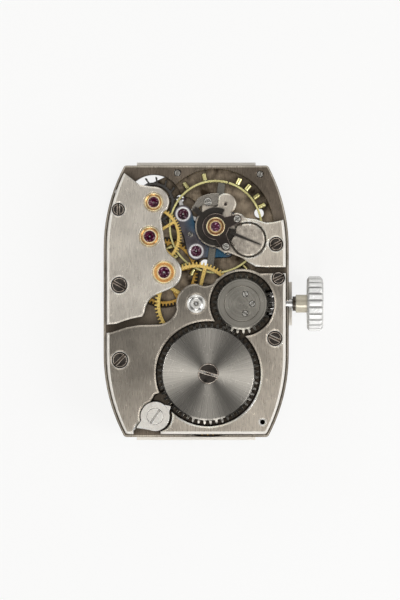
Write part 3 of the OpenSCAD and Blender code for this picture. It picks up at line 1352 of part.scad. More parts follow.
module hour_wheel() color(gilt) difference() {
    union() {
        at(centre) linear_extrude_from(hour_z, hour_thickness)
            polygon(gear(hour_teeth, hour_module,
                meshed(minute_phase, minute_leaves, mesh_angle(-minute_axis), hour_teeth)));
        disc(centre, hour_seat, -hour_reach, hour_reach + hour_z + cut);
    }
    disc(centre, cannon_sleeve + bearing_gap, -hour_reach - cut, hour_reach + 1);
}

mainplate();
barrel_bridge();
train_bridge();
balance_cock();
pallet_bridge();
bridge_screws();
setting_lever_screw();
small_screws();
plate_pins();
gold_chatons();
upper_jewels();
lower_jewels();
centre_bush();
crown_wheel_core();
click();
click_screw();
click_spring();
endstone_cap();
regulator();
stud_clamp();
hairspring_stud();
hairspring();
lower_cap();
barrel_drum();
barrel_cover();
barrel_arbor();
mainspring();
ratchet_wheel();
ratchet_screw();
crown_wheel();
centre_wheel();
centre_pinion();
third_wheel();
third_pinion();
fourth_wheel();
fourth_pinion();
seconds_pinion();
escape_wheel();
escape_pinion();
pallet_fork();
pallet_stones();
balance_wheel();
balance_screws();
balance_staff();
roller();
impulse_jewel();
hairspring_collet();
winding_stem();
crown();
winding_pinion();
sliding_pinion();
setting_lever();
yoke();
yoke_spring();
keyless_cover();
setting_wheel();
minute_wheel();
hour_wheel();
cannon_pinion();
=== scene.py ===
# %% [markdown]
# # A shaped watch movement
#
# This notebook dresses a finished CAD model of a hand-wound watch movement. The photo looks
# straight down on the bridge side: grey nickel-plated bridges, gilt wheels, rubies in gold
# settings, a sunray ratchet wheel and a fluted crown.
#
# Every solid comes from the CAD model, so nothing is moved here. We add light, a camera and
# finishes. Each finish is procedural: it is worked out from the place on the part, so it needs
# no picture and stays on the part when the part turns.

import json

import bpy
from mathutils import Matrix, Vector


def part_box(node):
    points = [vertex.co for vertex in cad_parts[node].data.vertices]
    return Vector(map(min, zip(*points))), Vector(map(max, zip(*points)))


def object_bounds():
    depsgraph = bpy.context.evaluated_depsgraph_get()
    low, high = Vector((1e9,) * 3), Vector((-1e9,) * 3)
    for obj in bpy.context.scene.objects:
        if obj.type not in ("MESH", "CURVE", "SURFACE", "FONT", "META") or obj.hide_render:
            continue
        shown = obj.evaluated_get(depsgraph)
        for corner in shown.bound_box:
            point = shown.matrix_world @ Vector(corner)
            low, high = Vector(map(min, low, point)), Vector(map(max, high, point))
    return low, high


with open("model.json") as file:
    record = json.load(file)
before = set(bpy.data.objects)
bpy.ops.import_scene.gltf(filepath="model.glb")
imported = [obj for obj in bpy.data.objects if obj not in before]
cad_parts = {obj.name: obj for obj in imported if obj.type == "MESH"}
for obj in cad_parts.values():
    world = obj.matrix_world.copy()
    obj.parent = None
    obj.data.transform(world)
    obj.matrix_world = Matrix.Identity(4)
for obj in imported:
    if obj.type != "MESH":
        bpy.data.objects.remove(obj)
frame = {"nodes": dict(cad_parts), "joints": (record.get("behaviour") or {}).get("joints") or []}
nodes = frame["nodes"]
cad_low, cad_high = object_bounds()
joint_place = {
    joint["name"]: [1000 * v for v in joint["pos_m"][:2]]
    for joint in frame["joints"] if "pos_m" in joint
}
print(len(nodes), "nodes,", [round(1000 * (b - a), 2) for a, b in zip(cad_low, cad_high)], "mm")

# %% [markdown]
# ## The camera
#
# A watch is photographed with a long macro lens, so there is hardly any perspective. We could
# use an orthographic camera, but a long lens far away gives the same look and keeps a trace of
# depth on the crown. The photo is 52.2 mm tall at the height of the bridges.

# %% Camera above the bridges
MM = 0.001
photo_height = 52.2 * MM
bridge_height = 3.4 * MM
camera_height = 0.4

lens = bpy.data.cameras.new("macro_lens")
lens.sensor_width = 36.0
lens.lens = lens.sensor_width * (camera_height - bridge_height) / photo_height
lens.clip_start = 0.01
lens.clip_end = 10.0
camera = bpy.data.objects.new("macro_camera", lens)
camera.location = (0.33 * MM, 0.32 * MM, camera_height)
bpy.context.scene.collection.objects.link(camera)
bpy.context.scene.camera = camera
print("focal length", round(lens.lens, 1), "mm")

# %% [markdown]
# ## Light
#
# Polished steel shows what is around it. A watchmaker's photo is taken in a white tent with
# the lens looking in through the top, so level surfaces mirror the darker opening and bevels
# mirror the bright walls. The world repeats that: bright low down, dark between 25 and 45
# degrees from the top, mid grey overhead. The four walls are brighter than the corners between
# them, which helps to draw the fans on a sunray wheel. One small window stands towards six
# o'clock and catches the sloping teeth at the bottom of the ratchet wheel. Two soft lamps light
# what doesn't mirror: the crown, the ledges and the bevels.

# %% Helpers for node trees
def math_node(tree, operation, first, second=None, third=None, clamp=False):
    """One math step; each value is a socket or a number."""
    node = tree.nodes.new("ShaderNodeMath")
    node.operation = operation
    node.use_clamp = clamp
    for place, value in enumerate((first, second, third)):
        if value is None:
            continue
        if isinstance(value, (int, float)):
            node.inputs[place].default_value = value
        else:
            tree.links.new(value, node.inputs[place])
    return node.outputs[0]


def step_mask(tree, value, start, end):
    """0 below start and 1 above end, with a straight rise between them."""
    node = tree.nodes.new("ShaderNodeMapRange")
    tree.links.new(value, node.inputs["Value"])
    node.inputs["From Min"].default_value = start
    node.inputs["From Max"].default_value = end
    return node.outputs["Result"]


def vector_node(tree, operation, first, second):
    """One vector step; each value is a socket or a tuple."""
    node = tree.nodes.new("ShaderNodeVectorMath")
    node.operation = operation
    for place, value in enumerate((first, second)):
        if isinstance(value, tuple):
            node.inputs[place].default_value = value
        else:
            tree.links.new(value, node.inputs[place])
    return node.outputs["Value" if operation in ("DOT_PRODUCT", "LENGTH") else "Vector"]


def scaled(tree, vector, factor):
    """The same colour or arrow times a factor, which is a socket or a number."""
    node = tree.nodes.new("ShaderNodeVectorMath")
    node.operation = "SCALE"
    tree.links.new(vector, node.inputs[0])
    if isinstance(factor, (int, float)):
        node.inputs["Scale"].default_value = factor
    else:
        tree.links.new(factor, node.inputs["Scale"])
    return node.outputs["Vector"]


print("helpers: math_node, step_mask, vector_node, scaled")

# %% White tent with a darker top
scene = bpy.context.scene
scene.view_settings.view_transform = "Standard"

tent = bpy.data.worlds.new("white_tent")
scene.world = tent
tent.use_nodes = True
tree = tent.node_tree
tree.nodes.clear()
direction = tree.nodes.new("ShaderNodeTexCoord")
split = tree.nodes.new("ShaderNodeSeparateXYZ")
walls = tree.nodes.new("ShaderNodeValToRGB")
sky = tree.nodes.new("ShaderNodeBackground")
out = tree.nodes.new("ShaderNodeOutputWorld")
tree.links.new(direction.outputs["Generated"], split.inputs["Vector"])
tent_x, tent_y, tent_z = split.outputs

# cosine of the angle from the top, and how bright the tent is there
heights = [
    (0.0, 1.0), (0.45, 0.95), (0.66, 0.5), (0.78, 0.16), (0.9, 0.26), (0.97, 0.8), (1.0, 0.98),
]
ramp = walls.color_ramp
while len(ramp.elements) < len(heights):
    ramp.elements.new(0.5)
for element, (place, value) in zip(ramp.elements, heights):
    element.position = place
    element.color = (value, value * 0.99, value * 0.97, 1)
tree.links.new(tent_z, walls.inputs["Fac"])

# four walls: bright where the direction is near an axis, darker at the corners
square_x = math_node(tree, "MULTIPLY", tent_x, tent_x)
square_y = math_node(tree, "MULTIPLY", tent_y, tent_y)
flat = math_node(tree, "ADD", math_node(tree, "ADD", square_x, square_y), 0.0001)
wall = math_node(tree, "DIVIDE", math_node(tree, "SUBTRACT", square_x, square_y), flat)
wall = math_node(tree, "POWER", math_node(tree, "ABSOLUTE", wall), 1.5)
corner_strength = 0.35
wall_strength = 0.8
wall = math_node(tree, "MULTIPLY_ADD", wall, wall_strength, corner_strength)

# window towards six o'clock, 35 degrees from the top
window_place = (0.0, -0.57, 0.82)
window_strength = 18.0
window_dot = vector_node(tree, "DOT_PRODUCT", direction.outputs["Generated"], window_place)
window = step_mask(tree, window_dot, 0.972, 0.984)
window = math_node(tree, "MULTIPLY", window, window_strength)
tree.links.new(walls.outputs["Color"], sky.inputs["Color"])
tree.links.new(math_node(tree, "ADD", wall, window), sky.inputs["Strength"])
tree.links.new(sky.outputs["Background"], out.inputs["Surface"])
print("tent steps", [round(e.position, 2) for e in ramp.elements])


# %% Soft lamps
def soft_lamp(name, place, size, power):
    """A square lamp that points at the middle of the movement."""
    data = bpy.data.lights.new(name, "AREA")
    data.size = size
    data.energy = power
    lamp = bpy.data.objects.new(name, data)
    lamp.location = place
    lamp.rotation_euler = (-lamp.location).to_track_quat("-Z", "Y").to_euler()
    scene.collection.objects.link(lamp)
    return lamp


soft_lamp("window_left", (-0.12, 0.09, 0.07), 0.06, 0.04)
soft_lamp("window_right", (0.12, -0.06, 0.1), 0.08, 0.11)

# %% [markdown]
# ## The table top
#
# The movement lies on a white light table. The floor is one big square just under the lowest
# hand post. Most of what the camera sees of it is its own glow, so it stays white inside the
# holes of the plate, and the rest is lit paper, which keeps the soft shadow.

# %% White floor
floor_mesh = bpy.data.meshes.new("floor")
floor_z = cad_low.z - 0.02 * MM
reach = 1.5
corners = [(-reach, -reach), (reach, -reach), (reach, reach), (-reach, reach)]
floor_mesh.from_pydata([(x, y, floor_z) for x, y in corners], [], [(0, 1, 2, 3)])
floor = bpy.data.objects.new("floor", floor_mesh)
scene.collection.objects.link(floor)
paper = bpy.data.materials.new("white_paper")
paper.use_nodes = True
tree = paper.node_tree
paper_shader = tree.nodes["Principled BSDF"]
paper_shader.inputs["Base Color"].default_value = (0.9, 0.9, 0.895, 1)
paper_shader.inputs["Roughness"].default_value = 0.9
glow = tree.nodes.new("ShaderNodeEmission")
glow.inputs["Color"].default_value = (1.0, 1.0, 0.995, 1)
glow.inputs["Strength"].default_value = 0.985
seen = tree.nodes.new("ShaderNodeLightPath")
blend = tree.nodes.new("ShaderNodeMixShader")
glow_share = 0.85
glowing = math_node(tree, "MULTIPLY", seen.outputs["Is Camera Ray"], glow_share)
tree.links.new(glowing, blend.inputs["Fac"])
tree.links.new(paper_shader.outputs["BSDF"], blend.inputs[1])
tree.links.new(glow.outputs["Emission"], blend.inputs[2])
tree.links.new(blend.outputs["Shader"], tree.nodes["Material Output"].inputs["Surface"])
floor_mesh.materials.append(paper)
print("floor at", round(1000 * floor_z, 2), "mm")

# %% [markdown]
# ## Effects that the finishes share
#
# Metal is never one flat colour. These node groups each make one effect and give it out as a
# mask between 0 and 1, so any material can use it for colour, roughness or bump:
#
# - clouds: slow, blotchy change of tone, such as handling and thin plating leave;
# - grain: fine specks or, when stretched, the lines of a straight brush;
# - rings: lines round an axis, as turning and circular graining leave;
# - rays: lines away from an axis, which make a sunray wheel;
# - edge polish and highlight: a mask near sharp edges, where a bevel catches the light; the metals
#   lighten their colour there as a painted highlight and make it smoother;
# - shade in crevices: a mask in corners and gaps, where the metals darken their colour as painted
#   shade;
# - scratches: thin, broken lines that tools and cleaning leave.


# %% Helpers for node groups
def new_group(name, inputs, outputs):
    """An empty node group with float inputs (name: value) and float or vector outputs."""
    group = bpy.data.node_groups.new(name, "ShaderNodeTree")
    for label, value in inputs.items():
        kind = "NodeSocketVector" if isinstance(value, tuple) else "NodeSocketFloat"
        socket = group.interface.new_socket(label, in_out="INPUT", socket_type=kind)
        socket.default_value = value
    for label, kind in outputs.items():
        group.interface.new_socket(label, in_out="OUTPUT", socket_type=kind)
    return group, group.nodes.new("NodeGroupInput"), group.nodes.new("NodeGroupOutput")


def place_on_part(tree):
    """The place on the part in metres. It turns with the part."""
    return tree.nodes.new("ShaderNodeTexCoord").outputs["Object"]


def noise_at(tree, vector, scale, detail=3.0):
    """Soft noise between 0 and 1; scale is a socket or a number."""
    node = tree.nodes.new("ShaderNodeTexNoise")
    node.inputs["Detail"].default_value = detail
    tree.links.new(vector, node.inputs["Vector"])
    if isinstance(scale, (int, float)):
        node.inputs["Scale"].default_value = scale
    else:
        tree.links.new(scale, node.inputs["Scale"])
    return node.outputs["Fac"]


print("helpers ready")

# %% Clouds and grain
FLOAT = "NodeSocketFloat"
clouds, g_in, g_out = new_group("clouds", {"Size": 0.003}, {"Mask": FLOAT})
scale = math_node(clouds, "DIVIDE", 1.0, g_in.outputs["Size"])
soft = noise_at(clouds, place_on_part(clouds), scale, 4.0)
wide = math_node(clouds, "MULTIPLY_ADD", soft, 2.6, -0.8, clamp=True)
clouds.links.new(wide, g_out.inputs["Mask"])

grain, g_in, g_out = new_group(
    "grain", {"Size": 0.0001, "Stretch": (1.0, 1.0, 1.0)}, {"Mask": FLOAT}
)
stretched = vector_node(grain, "MULTIPLY", place_on_part(grain), g_in.outputs["Stretch"])
scale = math_node(grain, "DIVIDE", 1.0, g_in.outputs["Size"])
specks = noise_at(grain, stretched, scale, 2.0)
wide = math_node(grain, "MULTIPLY_ADD", specks, 2.4, -0.7, clamp=True)
grain.links.new(wide, g_out.inputs["Mask"])
print("groups", [g.name for g in bpy.data.node_groups])

# %% Scratches
scratches, g_in, g_out = new_group("scratches", {"Size": 0.0016}, {"Mask": FLOAT})
turned = scratches.nodes.new("ShaderNodeMapping")
turned.inputs["Rotation"].default_value = (0.0, 0.0, 0.6)
turned.inputs["Scale"].default_value = (2.4, 0.5, 0.5)
scratches.links.new(place_on_part(scratches), turned.inputs["Vector"])
scale = math_node(scratches, "DIVIDE", 1.0, g_in.outputs["Size"])
waves = noise_at(scratches, turned.outputs["Vector"], scale, 1.0)
# pingpong folds the noise into a saw, and each low point of the saw becomes a line
saw = math_node(scratches, "PINGPONG", waves, 0.05)
line = step_mask(scratches, saw, 0.0045, 0.0015)
finer = math_node(scratches, "MULTIPLY", scale, 1.3)
broken = noise_at(scratches, place_on_part(scratches), finer, 1.0)
line = math_node(scratches, "MULTIPLY", line, step_mask(scratches, broken, 0.52, 0.56))
scratches.links.new(line, g_out.inputs["Mask"])
print("groups", [g.name for g in bpy.data.node_groups])


# %% Rings and rays round an axis
def from_axis(tree, g_in):
    """X and Y of a place on the part, counted from the group's axis."""
    split = tree.nodes.new("ShaderNodeSeparateXYZ")
    tree.links.new(place_on_part(tree), split.inputs["Vector"])
    x = math_node(tree, "SUBTRACT", split.outputs["X"], g_in.outputs["Axis X"])
    y = math_node(tree, "SUBTRACT", split.outputs["Y"], g_in.outputs["Axis Y"])
    return x, y


def radius_of(tree, x, y):
    """Distance from the axis."""
    square_x = math_node(tree, "MULTIPLY", x, x)
    square_y = math_node(tree, "MULTIPLY", y, y)
    return math_node(tree, "SQRT", math_node(tree, "ADD", square_x, square_y))


def line_noise(tree, value, scale, seed):
    """Noise along one value only, so that it makes lines."""
    combine = tree.nodes.new("ShaderNodeCombineXYZ")
    tree.links.new(value, combine.inputs["X"])
    combine.inputs["Y"].default_value = seed
    return noise_at(tree, combine.outputs["Vector"], scale, 2.0)


rings, g_in, g_out = new_group(
    "rings", {"Axis X": 0.0, "Axis Y": 0.0, "Size": 0.0001}, {"Mask": FLOAT, "Radius": FLOAT}
)
radius = radius_of(rings, *from_axis(rings, g_in))
scale = math_node(rings, "DIVIDE", 1.0, g_in.outputs["Size"])
rings.links.new(line_noise(rings, radius, scale, 3.7), g_out.inputs["Mask"])
rings.links.new(radius, g_out.inputs["Radius"])

rays, g_in, g_out = new_group(
    "rays", {"Axis X": 0.0, "Axis Y": 0.0, "Count": 60.0}, {"Mask": FLOAT, "Angle": FLOAT}
)
x, y = from_axis(rays, g_in)
angle = math_node(rays, "ARCTAN2", y, x)
rays.links.new(line_noise(rays, angle, g_in.outputs["Count"], 1.3), g_out.inputs["Mask"])
rays.links.new(angle, g_out.inputs["Angle"])
print("groups", [g.name for g in bpy.data.node_groups])

# %% Edge polish and highlight
edge_polish_and_highlight, g_in, g_out = new_group(
    "edge_polish_and_highlight", {"Width": 0.00006}, {"Mask": FLOAT, "Normal": "NodeSocketVector"}
)
round_off = edge_polish_and_highlight.nodes.new("ShaderNodeBevel")
round_off.samples = 6
edge_polish_and_highlight.links.new(g_in.outputs["Width"], round_off.inputs["Radius"])
flat_normal = edge_polish_and_highlight.nodes.new("ShaderNodeNewGeometry").outputs["Normal"]
round_normal = round_off.outputs["Normal"]
likeness = vector_node(edge_polish_and_highlight, "DOT_PRODUCT", round_normal, flat_normal)
away = math_node(edge_polish_and_highlight, "SUBTRACT", 1.0, likeness)
near_edge = step_mask(edge_polish_and_highlight, away, 0.002, 0.008)
edge_polish_and_highlight.links.new(near_edge, g_out.inputs["Mask"])
lean = vector_node(edge_polish_and_highlight, "SUBTRACT", round_normal, flat_normal)
lean = vector_node(edge_polish_and_highlight, "NORMALIZE", lean, (0.0, 0.0, 0.0))
chamfer_slope = 0.8
slope = scaled(edge_polish_and_highlight, lean, math_node(edge_polish_and_highlight, "MULTIPLY", near_edge, chamfer_slope))
chamfer = vector_node(edge_polish_and_highlight, "ADD", flat_normal, slope)
chamfer = vector_node(edge_polish_and_highlight, "NORMALIZE", chamfer, (0.0, 0.0, 0.0))
edge_polish_and_highlight.links.new(chamfer, g_out.inputs["Normal"])
print("groups", [g.name for g in bpy.data.node_groups])

# %% Shade in crevices
crevice_shade, g_in, g_out = new_group("crevice_shade", {"Reach": 0.0004}, {"Mask": FLOAT})
# ambient occlusion finds corners and gaps, and the metals use this mask to paint shade there
shelter = crevice_shade.nodes.new("ShaderNodeAmbientOcclusion")
shelter.samples = 8
crevice_shade.links.new(g_in.outputs["Reach"], shelter.inputs["Distance"])
covered = math_node(crevice_shade, "SUBTRACT", 1.0, shelter.outputs["AO"])
occlusion_shade_mask = math_node(crevice_shade, "MULTIPLY_ADD", covered, 1.7, -0.2, clamp=True)
crevice_shade.links.new(occlusion_shade_mask, g_out.inputs["Mask"])
print("groups", [g.name for g in bpy.data.node_groups])


# %% [markdown]
# ## A metal finish
#
# All the metals here are built the same way. A Principled shader gets a metallic value, a colour
# that clouds and a pattern vary a little, a lighter edge that is a painted highlight, shade
# painted into corners and gaps, and a fine bump.
# Writing it as one helper keeps the materials short. Constant values go straight on the
# shader's sockets.


# %% Metal helper
def use_group(tree, group, **values):
    """Places a node group in a material with its own values."""
    node = tree.nodes.new("ShaderNodeGroup")
    node.node_tree = group
    for label, value in values.items():
        node.inputs[label.replace("_", " ")].default_value = value
    return node


def blend_colour(tree, mask, first, second):
    """Mixes two colours by a mask. Each colour is a socket or a tuple."""
    node = tree.nodes.new("ShaderNodeMix")
    node.data_type = "RGBA"
    tree.links.new(mask, node.inputs["Factor"])
    for label, value in (("A", first), ("B", second)):
        socket = next(s for s in node.inputs if s.name == label and s.type == "RGBA")
        if isinstance(value, tuple):
            socket.default_value = (*value, 1)
        else:
            tree.links.new(value, socket)
    return next(s for s in node.outputs if s.type == "RGBA")


def colour_value(tree, colour):
    """A constant colour as a socket."""
    node = tree.nodes.new("ShaderNodeRGB")
    node.outputs[0].default_value = (*colour, 1)
    return node.outputs[0]


def shade(colour, factor):
    """The same colour, darker or lighter."""
    return tuple(min(1.0, c * factor) for c in colour)


# near-black colour of the shade painted into corners and gaps
painted_shade_colour = (0.02, 0.016, 0.012)
# pale colour of the casing ledges, and of the bevels as a painted highlight
pale_ledge_and_highlight_colour = (0.97, 0.93, 0.86)
scratch_strength = 0.5


def metal(name, colour, roughness, pattern=None, depth=0.2, cloud=0.12, edge=1.25, bump=0.1,
          width=0.05, corner_shade=0.8, reach=0.3, tone_size=3.5, pale_and_highlight_mask=None, metallic=1.0):
    """A metallic material; pattern is (group, values) and depth is how strongly it shows.

    The colour is a tuple, or a function that gets the node tree and returns a colour socket.
    Edge is how much lighter the colour is near the rim, which is a painted highlight, and width is
    the rim's width. The corner shade value is how strongly shade is painted into corners and gaps,
    and reach is how far that painted shade comes out of a corner; width and reach are in
    millimetres. The pale mask function returns the places that turn pale over the painted shade:
    the casing ledges, which are pale, and the bevels, whose pale colour is a painted highlight.
    """
    material = bpy.data.materials.new(name)
    material.use_nodes = True
    tree = material.node_tree
    shader = tree.nodes["Principled BSDF"]
    shader.inputs["Metallic"].default_value = metallic
    group, values = pattern or (grain, {"Size": 0.00012})
    lines = use_group(tree, group, **values)
    tone = use_group(tree, clouds, Size=tone_size * MM)
    rim = use_group(tree, edge_polish_and_highlight, Width=width * MM)
    gap = use_group(tree, crevice_shade, Reach=reach * MM)
    base = colour(tree) if callable(colour) else colour_value(tree, colour)
    marks = use_group(tree, scratches)
    # the rim effect lightens the colour near sharp edges as a painted highlight
    effects = [
        (lines, 2 * depth, 1 - depth), (tone, -2 * cloud, 1 + cloud), (rim, edge - 1, 1.0),
        (marks, scratch_strength, 1.0),
    ]
    for effect, change, start in effects:
        factor = math_node(tree, "MULTIPLY_ADD", effect.outputs["Mask"], change, start)
        base = scaled(tree, base, factor)
    # painted shade: the colour darkens towards near black in corners and gaps
    shade_amount = math_node(tree, "MULTIPLY", gap.outputs["Mask"], corner_shade)
    base = blend_colour(tree, shade_amount, base, painted_shade_colour)
    # pale places over the painted shade: the casing ledges, and the bevels as a painted highlight
    if pale_and_highlight_mask:
        mask = pale_and_highlight_mask(tree)
        base = blend_colour(tree, mask, base, pale_ledge_and_highlight_colour)
        tree.links.new(math_node(tree, "SUBTRACT", 1.0, mask), shader.inputs["Metallic"])
    tree.links.new(base, shader.inputs["Base Color"])
    low_rough, change = roughness * 0.85, roughness * 0.3
    rough = math_node(tree, "MULTIPLY_ADD", lines.outputs["Mask"], change, low_rough)
    polish = math_node(tree, "MULTIPLY_ADD", rim.outputs["Mask"], -0.5, 1.0)
    tree.links.new(math_node(tree, "MULTIPLY", rough, polish), shader.inputs["Roughness"])
    dents = tree.nodes.new("ShaderNodeBump")
    dents.inputs["Strength"].default_value = bump
    dents.inputs["Distance"].default_value = 0.00002
    tree.links.new(lines.outputs["Mask"], dents.inputs["Height"])
    tree.links.new(rim.outputs["Normal"], dents.inputs["Normal"])
    tree.links.new(dents.outputs["Normal"], shader.inputs["Normal"])
    return material


dressed = set()


def dress(material, *names):
    """Gives CAD nodes their finish."""
    for name in names:
        mesh = nodes[name].data
        mesh.materials.clear()
        mesh.materials.append(material)
    dressed.update(names)
    print(material.name, "on", ", ".join(names))


print("scratches lighten the metal by", scratch_strength)

# %% [markdown]
# ## Plate and bridges
#
# All are brass with a nickel plating that has turned a warm grey. The bridges have a fine straight
# brush, soft bright edges that a wide edge mask draws as a painted highlight, and a dark colour in
# their recesses, which is painted shade. A picture of the surface would be simpler, but a formula
# stays sharp at any zoom.

# %% Nickel bridges
def place_parts(tree):
    """X, Y and Z of the place on the part."""
    split = tree.nodes.new("ShaderNodeSeparateXYZ")
    tree.links.new(place_on_part(tree), split.inputs["Vector"])
    return split.outputs


def near_point(tree, x, y, radius, soft=0.05):
    """A round mask about a point, in millimetres."""
    place = place_parts(tree)
    across = math_node(tree, "SUBTRACT", place["X"], x * MM)
    along = math_node(tree, "SUBTRACT", place["Y"], y * MM)
    distance = radius_of(tree, across, along)
    return step_mask(tree, distance, (radius + soft) * MM, (radius - soft) * MM)


# dark colour of the shade painted into the bridges' recesses
painted_recess_shade = (0.085, 0.07, 0.055)
# a bridge is recessed below these heights, in millimetres from the dial seat
train_recess = 3.25
barrel_recess = 3.3
cock_recess = 2.9


def above_floor(tree, floor_height):
    """1 above a height in millimetres."""
    return step_mask(tree, place_parts(tree)["Z"], (floor_height - 0.02) * MM, floor_height * MM)


def bridge_colour(top_colour, floor_height):
    """The finish's colour on top, and a dark colour in the recesses below a height, which is
    painted shade.
    """
    def colour(tree):
        return blend_colour(tree, above_floor(tree, floor_height), painted_recess_shade, top_colour)
    return colour


def cock_colour(tree):
    """Worn nickel with a frosted, brownish field under the index."""
    base = bridge_colour((0.64, 0.575, 0.49), cock_recess)(tree)
    field = near_point(tree, 4.55, 5.56, 1.4)
    field = math_node(tree, "MAXIMUM", field, near_point(tree, 3.4, 6.05, 0.75))
    frost = use_group(tree, clouds, Size=0.35 * MM)
    frosted = blend_colour(tree, frost.outputs["Mask"], (0.36, 0.32, 0.275), (0.62, 0.56, 0.48))
    return blend_colour(tree, field, base, frosted)


print("recesses below", train_recess, barrel_recess, cock_recess, "mm")

# %% [markdown]
# The bridges follow the plate's outline and have a polished bevel along it, which is not in the
# solid: its bright line is a painted highlight in the colour. A shader bevel is too soft for such
# a crisp line, so we write the outline as a formula: straight in the middle of each long side and
# bowed beyond that.

# %% Plate outline
plate_middle = 0.21
side_radius = 15.2
side_straight = 4.63
half_width = 8.08
half_length = 11.85
bridge_inset = 0.3
bevel_width = 0.23
bridge_top = 3.6


def past_outline(tree, inset):
    """1 where the place is beyond the plate's outline, moved in by an inset in millimetres."""
    place = place_parts(tree)
    along = math_node(tree, "ABSOLUTE", math_node(tree, "SUBTRACT", place["Y"], plate_middle * MM))
    bowed = math_node(tree, "MAXIMUM", math_node(tree, "SUBTRACT", along, side_straight * MM), 0.0)
    square = math_node(tree, "MULTIPLY", bowed, bowed)
    square = math_node(tree, "SUBTRACT", (side_radius * MM) ** 2, square)
    edge = math_node(tree, "ADD", math_node(tree, "SQRT", square), (half_width - side_radius) * MM)
    across = math_node(tree, "SUBTRACT", math_node(tree, "ABSOLUTE", place["X"]), edge)
    past_end = math_node(tree, "SUBTRACT", along, half_length * MM)
    beyond = math_node(tree, "MAXIMUM", across, past_end)
    return step_mask(tree, beyond, (-inset - 0.02) * MM, (-inset + 0.02) * MM)


# each screw's place and the radius of its head, in millimetres
screw_heads = [
    (-6.77, 8.2, 0.5), (-6.7, 1.62, 0.65), (-6.64, -4.9, 0.65), (6.84, -3.02, 0.6),
    (6.94, 5.18, 0.57), (7.14, 2.24, 0.52),
]


def painted_bevel_highlight(tree):
    """Painted highlight for the polished bevels, which are not in the solid: where a bridge
    follows the plate's outline, and round each screw.
    """
    mask = past_outline(tree, bridge_inset + bevel_width)
    for x, y, head in screw_heads:
        inner = near_point(tree, x, y, head + 0.02, 0.02)
        sink = math_node(tree, "SUBTRACT", near_point(tree, x, y, head + 0.11, 0.03), inner)
        mask = math_node(tree, "MAXIMUM", mask, math_node(tree, "MULTIPLY", sink, 0.8))
    height = place_parts(tree)["Z"]
    top = step_mask(tree, height, (bridge_top - 0.06) * MM, (bridge_top - 0.03) * MM)
    return math_node(tree, "MULTIPLY", mask, top)


print("outline", 2 * half_width, "by", 2 * half_length, "mm,", len(screw_heads), "screws")

# %% Bridge finishes
train_brush = (grain, {"Size": 0.00022, "Stretch": (4.0, 0.35, 1.0)})
train_colour = bridge_colour((0.66, 0.61, 0.54), train_recess)
train_finish = metal("pale_brushed_nickel", train_colour, 0.3, train_brush, depth=0.16,
                     cloud=0.16, edge=1.5, width=0.25, pale_and_highlight_mask=painted_bevel_highlight)
dress(train_finish, "train_bridge")
clean_tone = (0.6, 0.56, 0.5)
dress(metal("plain_nickel", clean_tone, 0.3, train_brush, depth=0.16), "keyless_cover")


def barrel_colour(tree):
    """Nickel with painted shade: darker towards the middle of the movement, and dark in the
    recesses below a height.
    """
    place = place_parts(tree)
    across = math_node(tree, "MULTIPLY", place["X"], 0.6)
    slant = math_node(tree, "SUBTRACT", across, place["Y"])
    lower = step_mask(tree, slant, -1.5 * MM, 11 * MM)
    # painted shade: the colour goes from dark to light across the bridge
    top = blend_colour(tree, lower, (0.22, 0.198, 0.168), (0.56, 0.5, 0.425))
    return blend_colour(tree, above_floor(tree, barrel_recess), painted_recess_shade, top)


barrel_finish = metal("brushed_nickel", barrel_colour, 0.3, train_brush, depth=0.18, cloud=0.25,
                      edge=2.2, width=0.28, pale_and_highlight_mask=painted_bevel_highlight)
dress(barrel_finish, "barrel_bridge")
cock_finish = metal("worn_nickel", cock_colour, 0.3, train_brush, depth=0.16, cloud=0.3,
                    edge=1.6, width=0.22, pale_and_highlight_mask=painted_bevel_highlight)
dress(cock_finish, "balance_cock")

# %% [markdown]
# The plate lies deeper than the bridges. Its top is dark grey with a thin polished line inside the
# rim, whose pale colour is a painted highlight; its pockets are brown, blotched from mid brown to
# near black, with painted shade in their corners; its walls and dial side are plain nickel, and
# only its casing ledges are pale. It is one solid, so the tone follows the height of a place and
# the plate's outline.

# %% Plate
plate_top = 2.03
dial_side_depth = 0.12


def plate_colour(tree):
    """Dark brown pockets under a dark grey top with a pale line inside the rim, which is a painted
    highlight, and plain nickel on the dial side.
    """
    patches = use_group(tree, clouds, Size=1.1 * MM)
    deep = blend_colour(tree, patches.outputs["Mask"], (0.48, 0.385, 0.28), (0.045, 0.031, 0.019))
    height = place_parts(tree)["Z"]
    top = step_mask(tree, height, (plate_top - 0.05) * MM, plate_top * MM)
    # painted highlight: a pale line just inside the plate's rim on its top
    rim = math_node(tree, "SUBTRACT", past_outline(tree, 0.15), past_outline(tree, 0.06))
    face = blend_colour(tree, rim, (0.19, 0.155, 0.12), (0.7, 0.64, 0.54))
    dial_side = step_mask(tree, height, dial_side_depth * MM, 0.5 * dial_side_depth * MM)
    clean_nickel = math_node(tree, "MAXIMUM", dial_side, past_outline(tree, 0.03))
    deep = blend_colour(tree, clean_nickel, deep, clean_tone)
    return blend_colour(tree, top, deep, face)


def plate_rim(tree):
    """The pale casing ledges outside the plate's outline."""
    return past_outline(tree, -0.03)


plate_finish = metal("matt_plate_nickel", plate_colour, 0.3, train_brush, depth=0.22, cloud=0.3,
                     edge=2.2, width=0.06, corner_shade=0.85, reach=0.9, pale_and_highlight_mask=plate_rim)
dress(plate_finish, "mainplate")


def pallet_colour(tree):
    """Dark steel with blue temper colour in two patches, and polished sinks round its jewels
    painted pale as a highlight.
    """
    blue = near_point(tree, 0.05, 7.1, 0.75, 0.45)
    blue = math_node(tree, "MAXIMUM", blue, near_point(tree, 1.9, 4.4, 0.9, 0.45))
    base = blend_colour(tree, blue, (0.12, 0.11, 0.12), (0.04, 0.105, 0.17))
    for joint in ("fork_swing", "seconds_turn"):
        # painted highlight: a pale ring round each jewel for its polished sink
        sink = near_point(tree, *joint_place[joint], 0.64)
        base = blend_colour(tree, sink, base, (0.85, 0.82, 0.84))
    return base


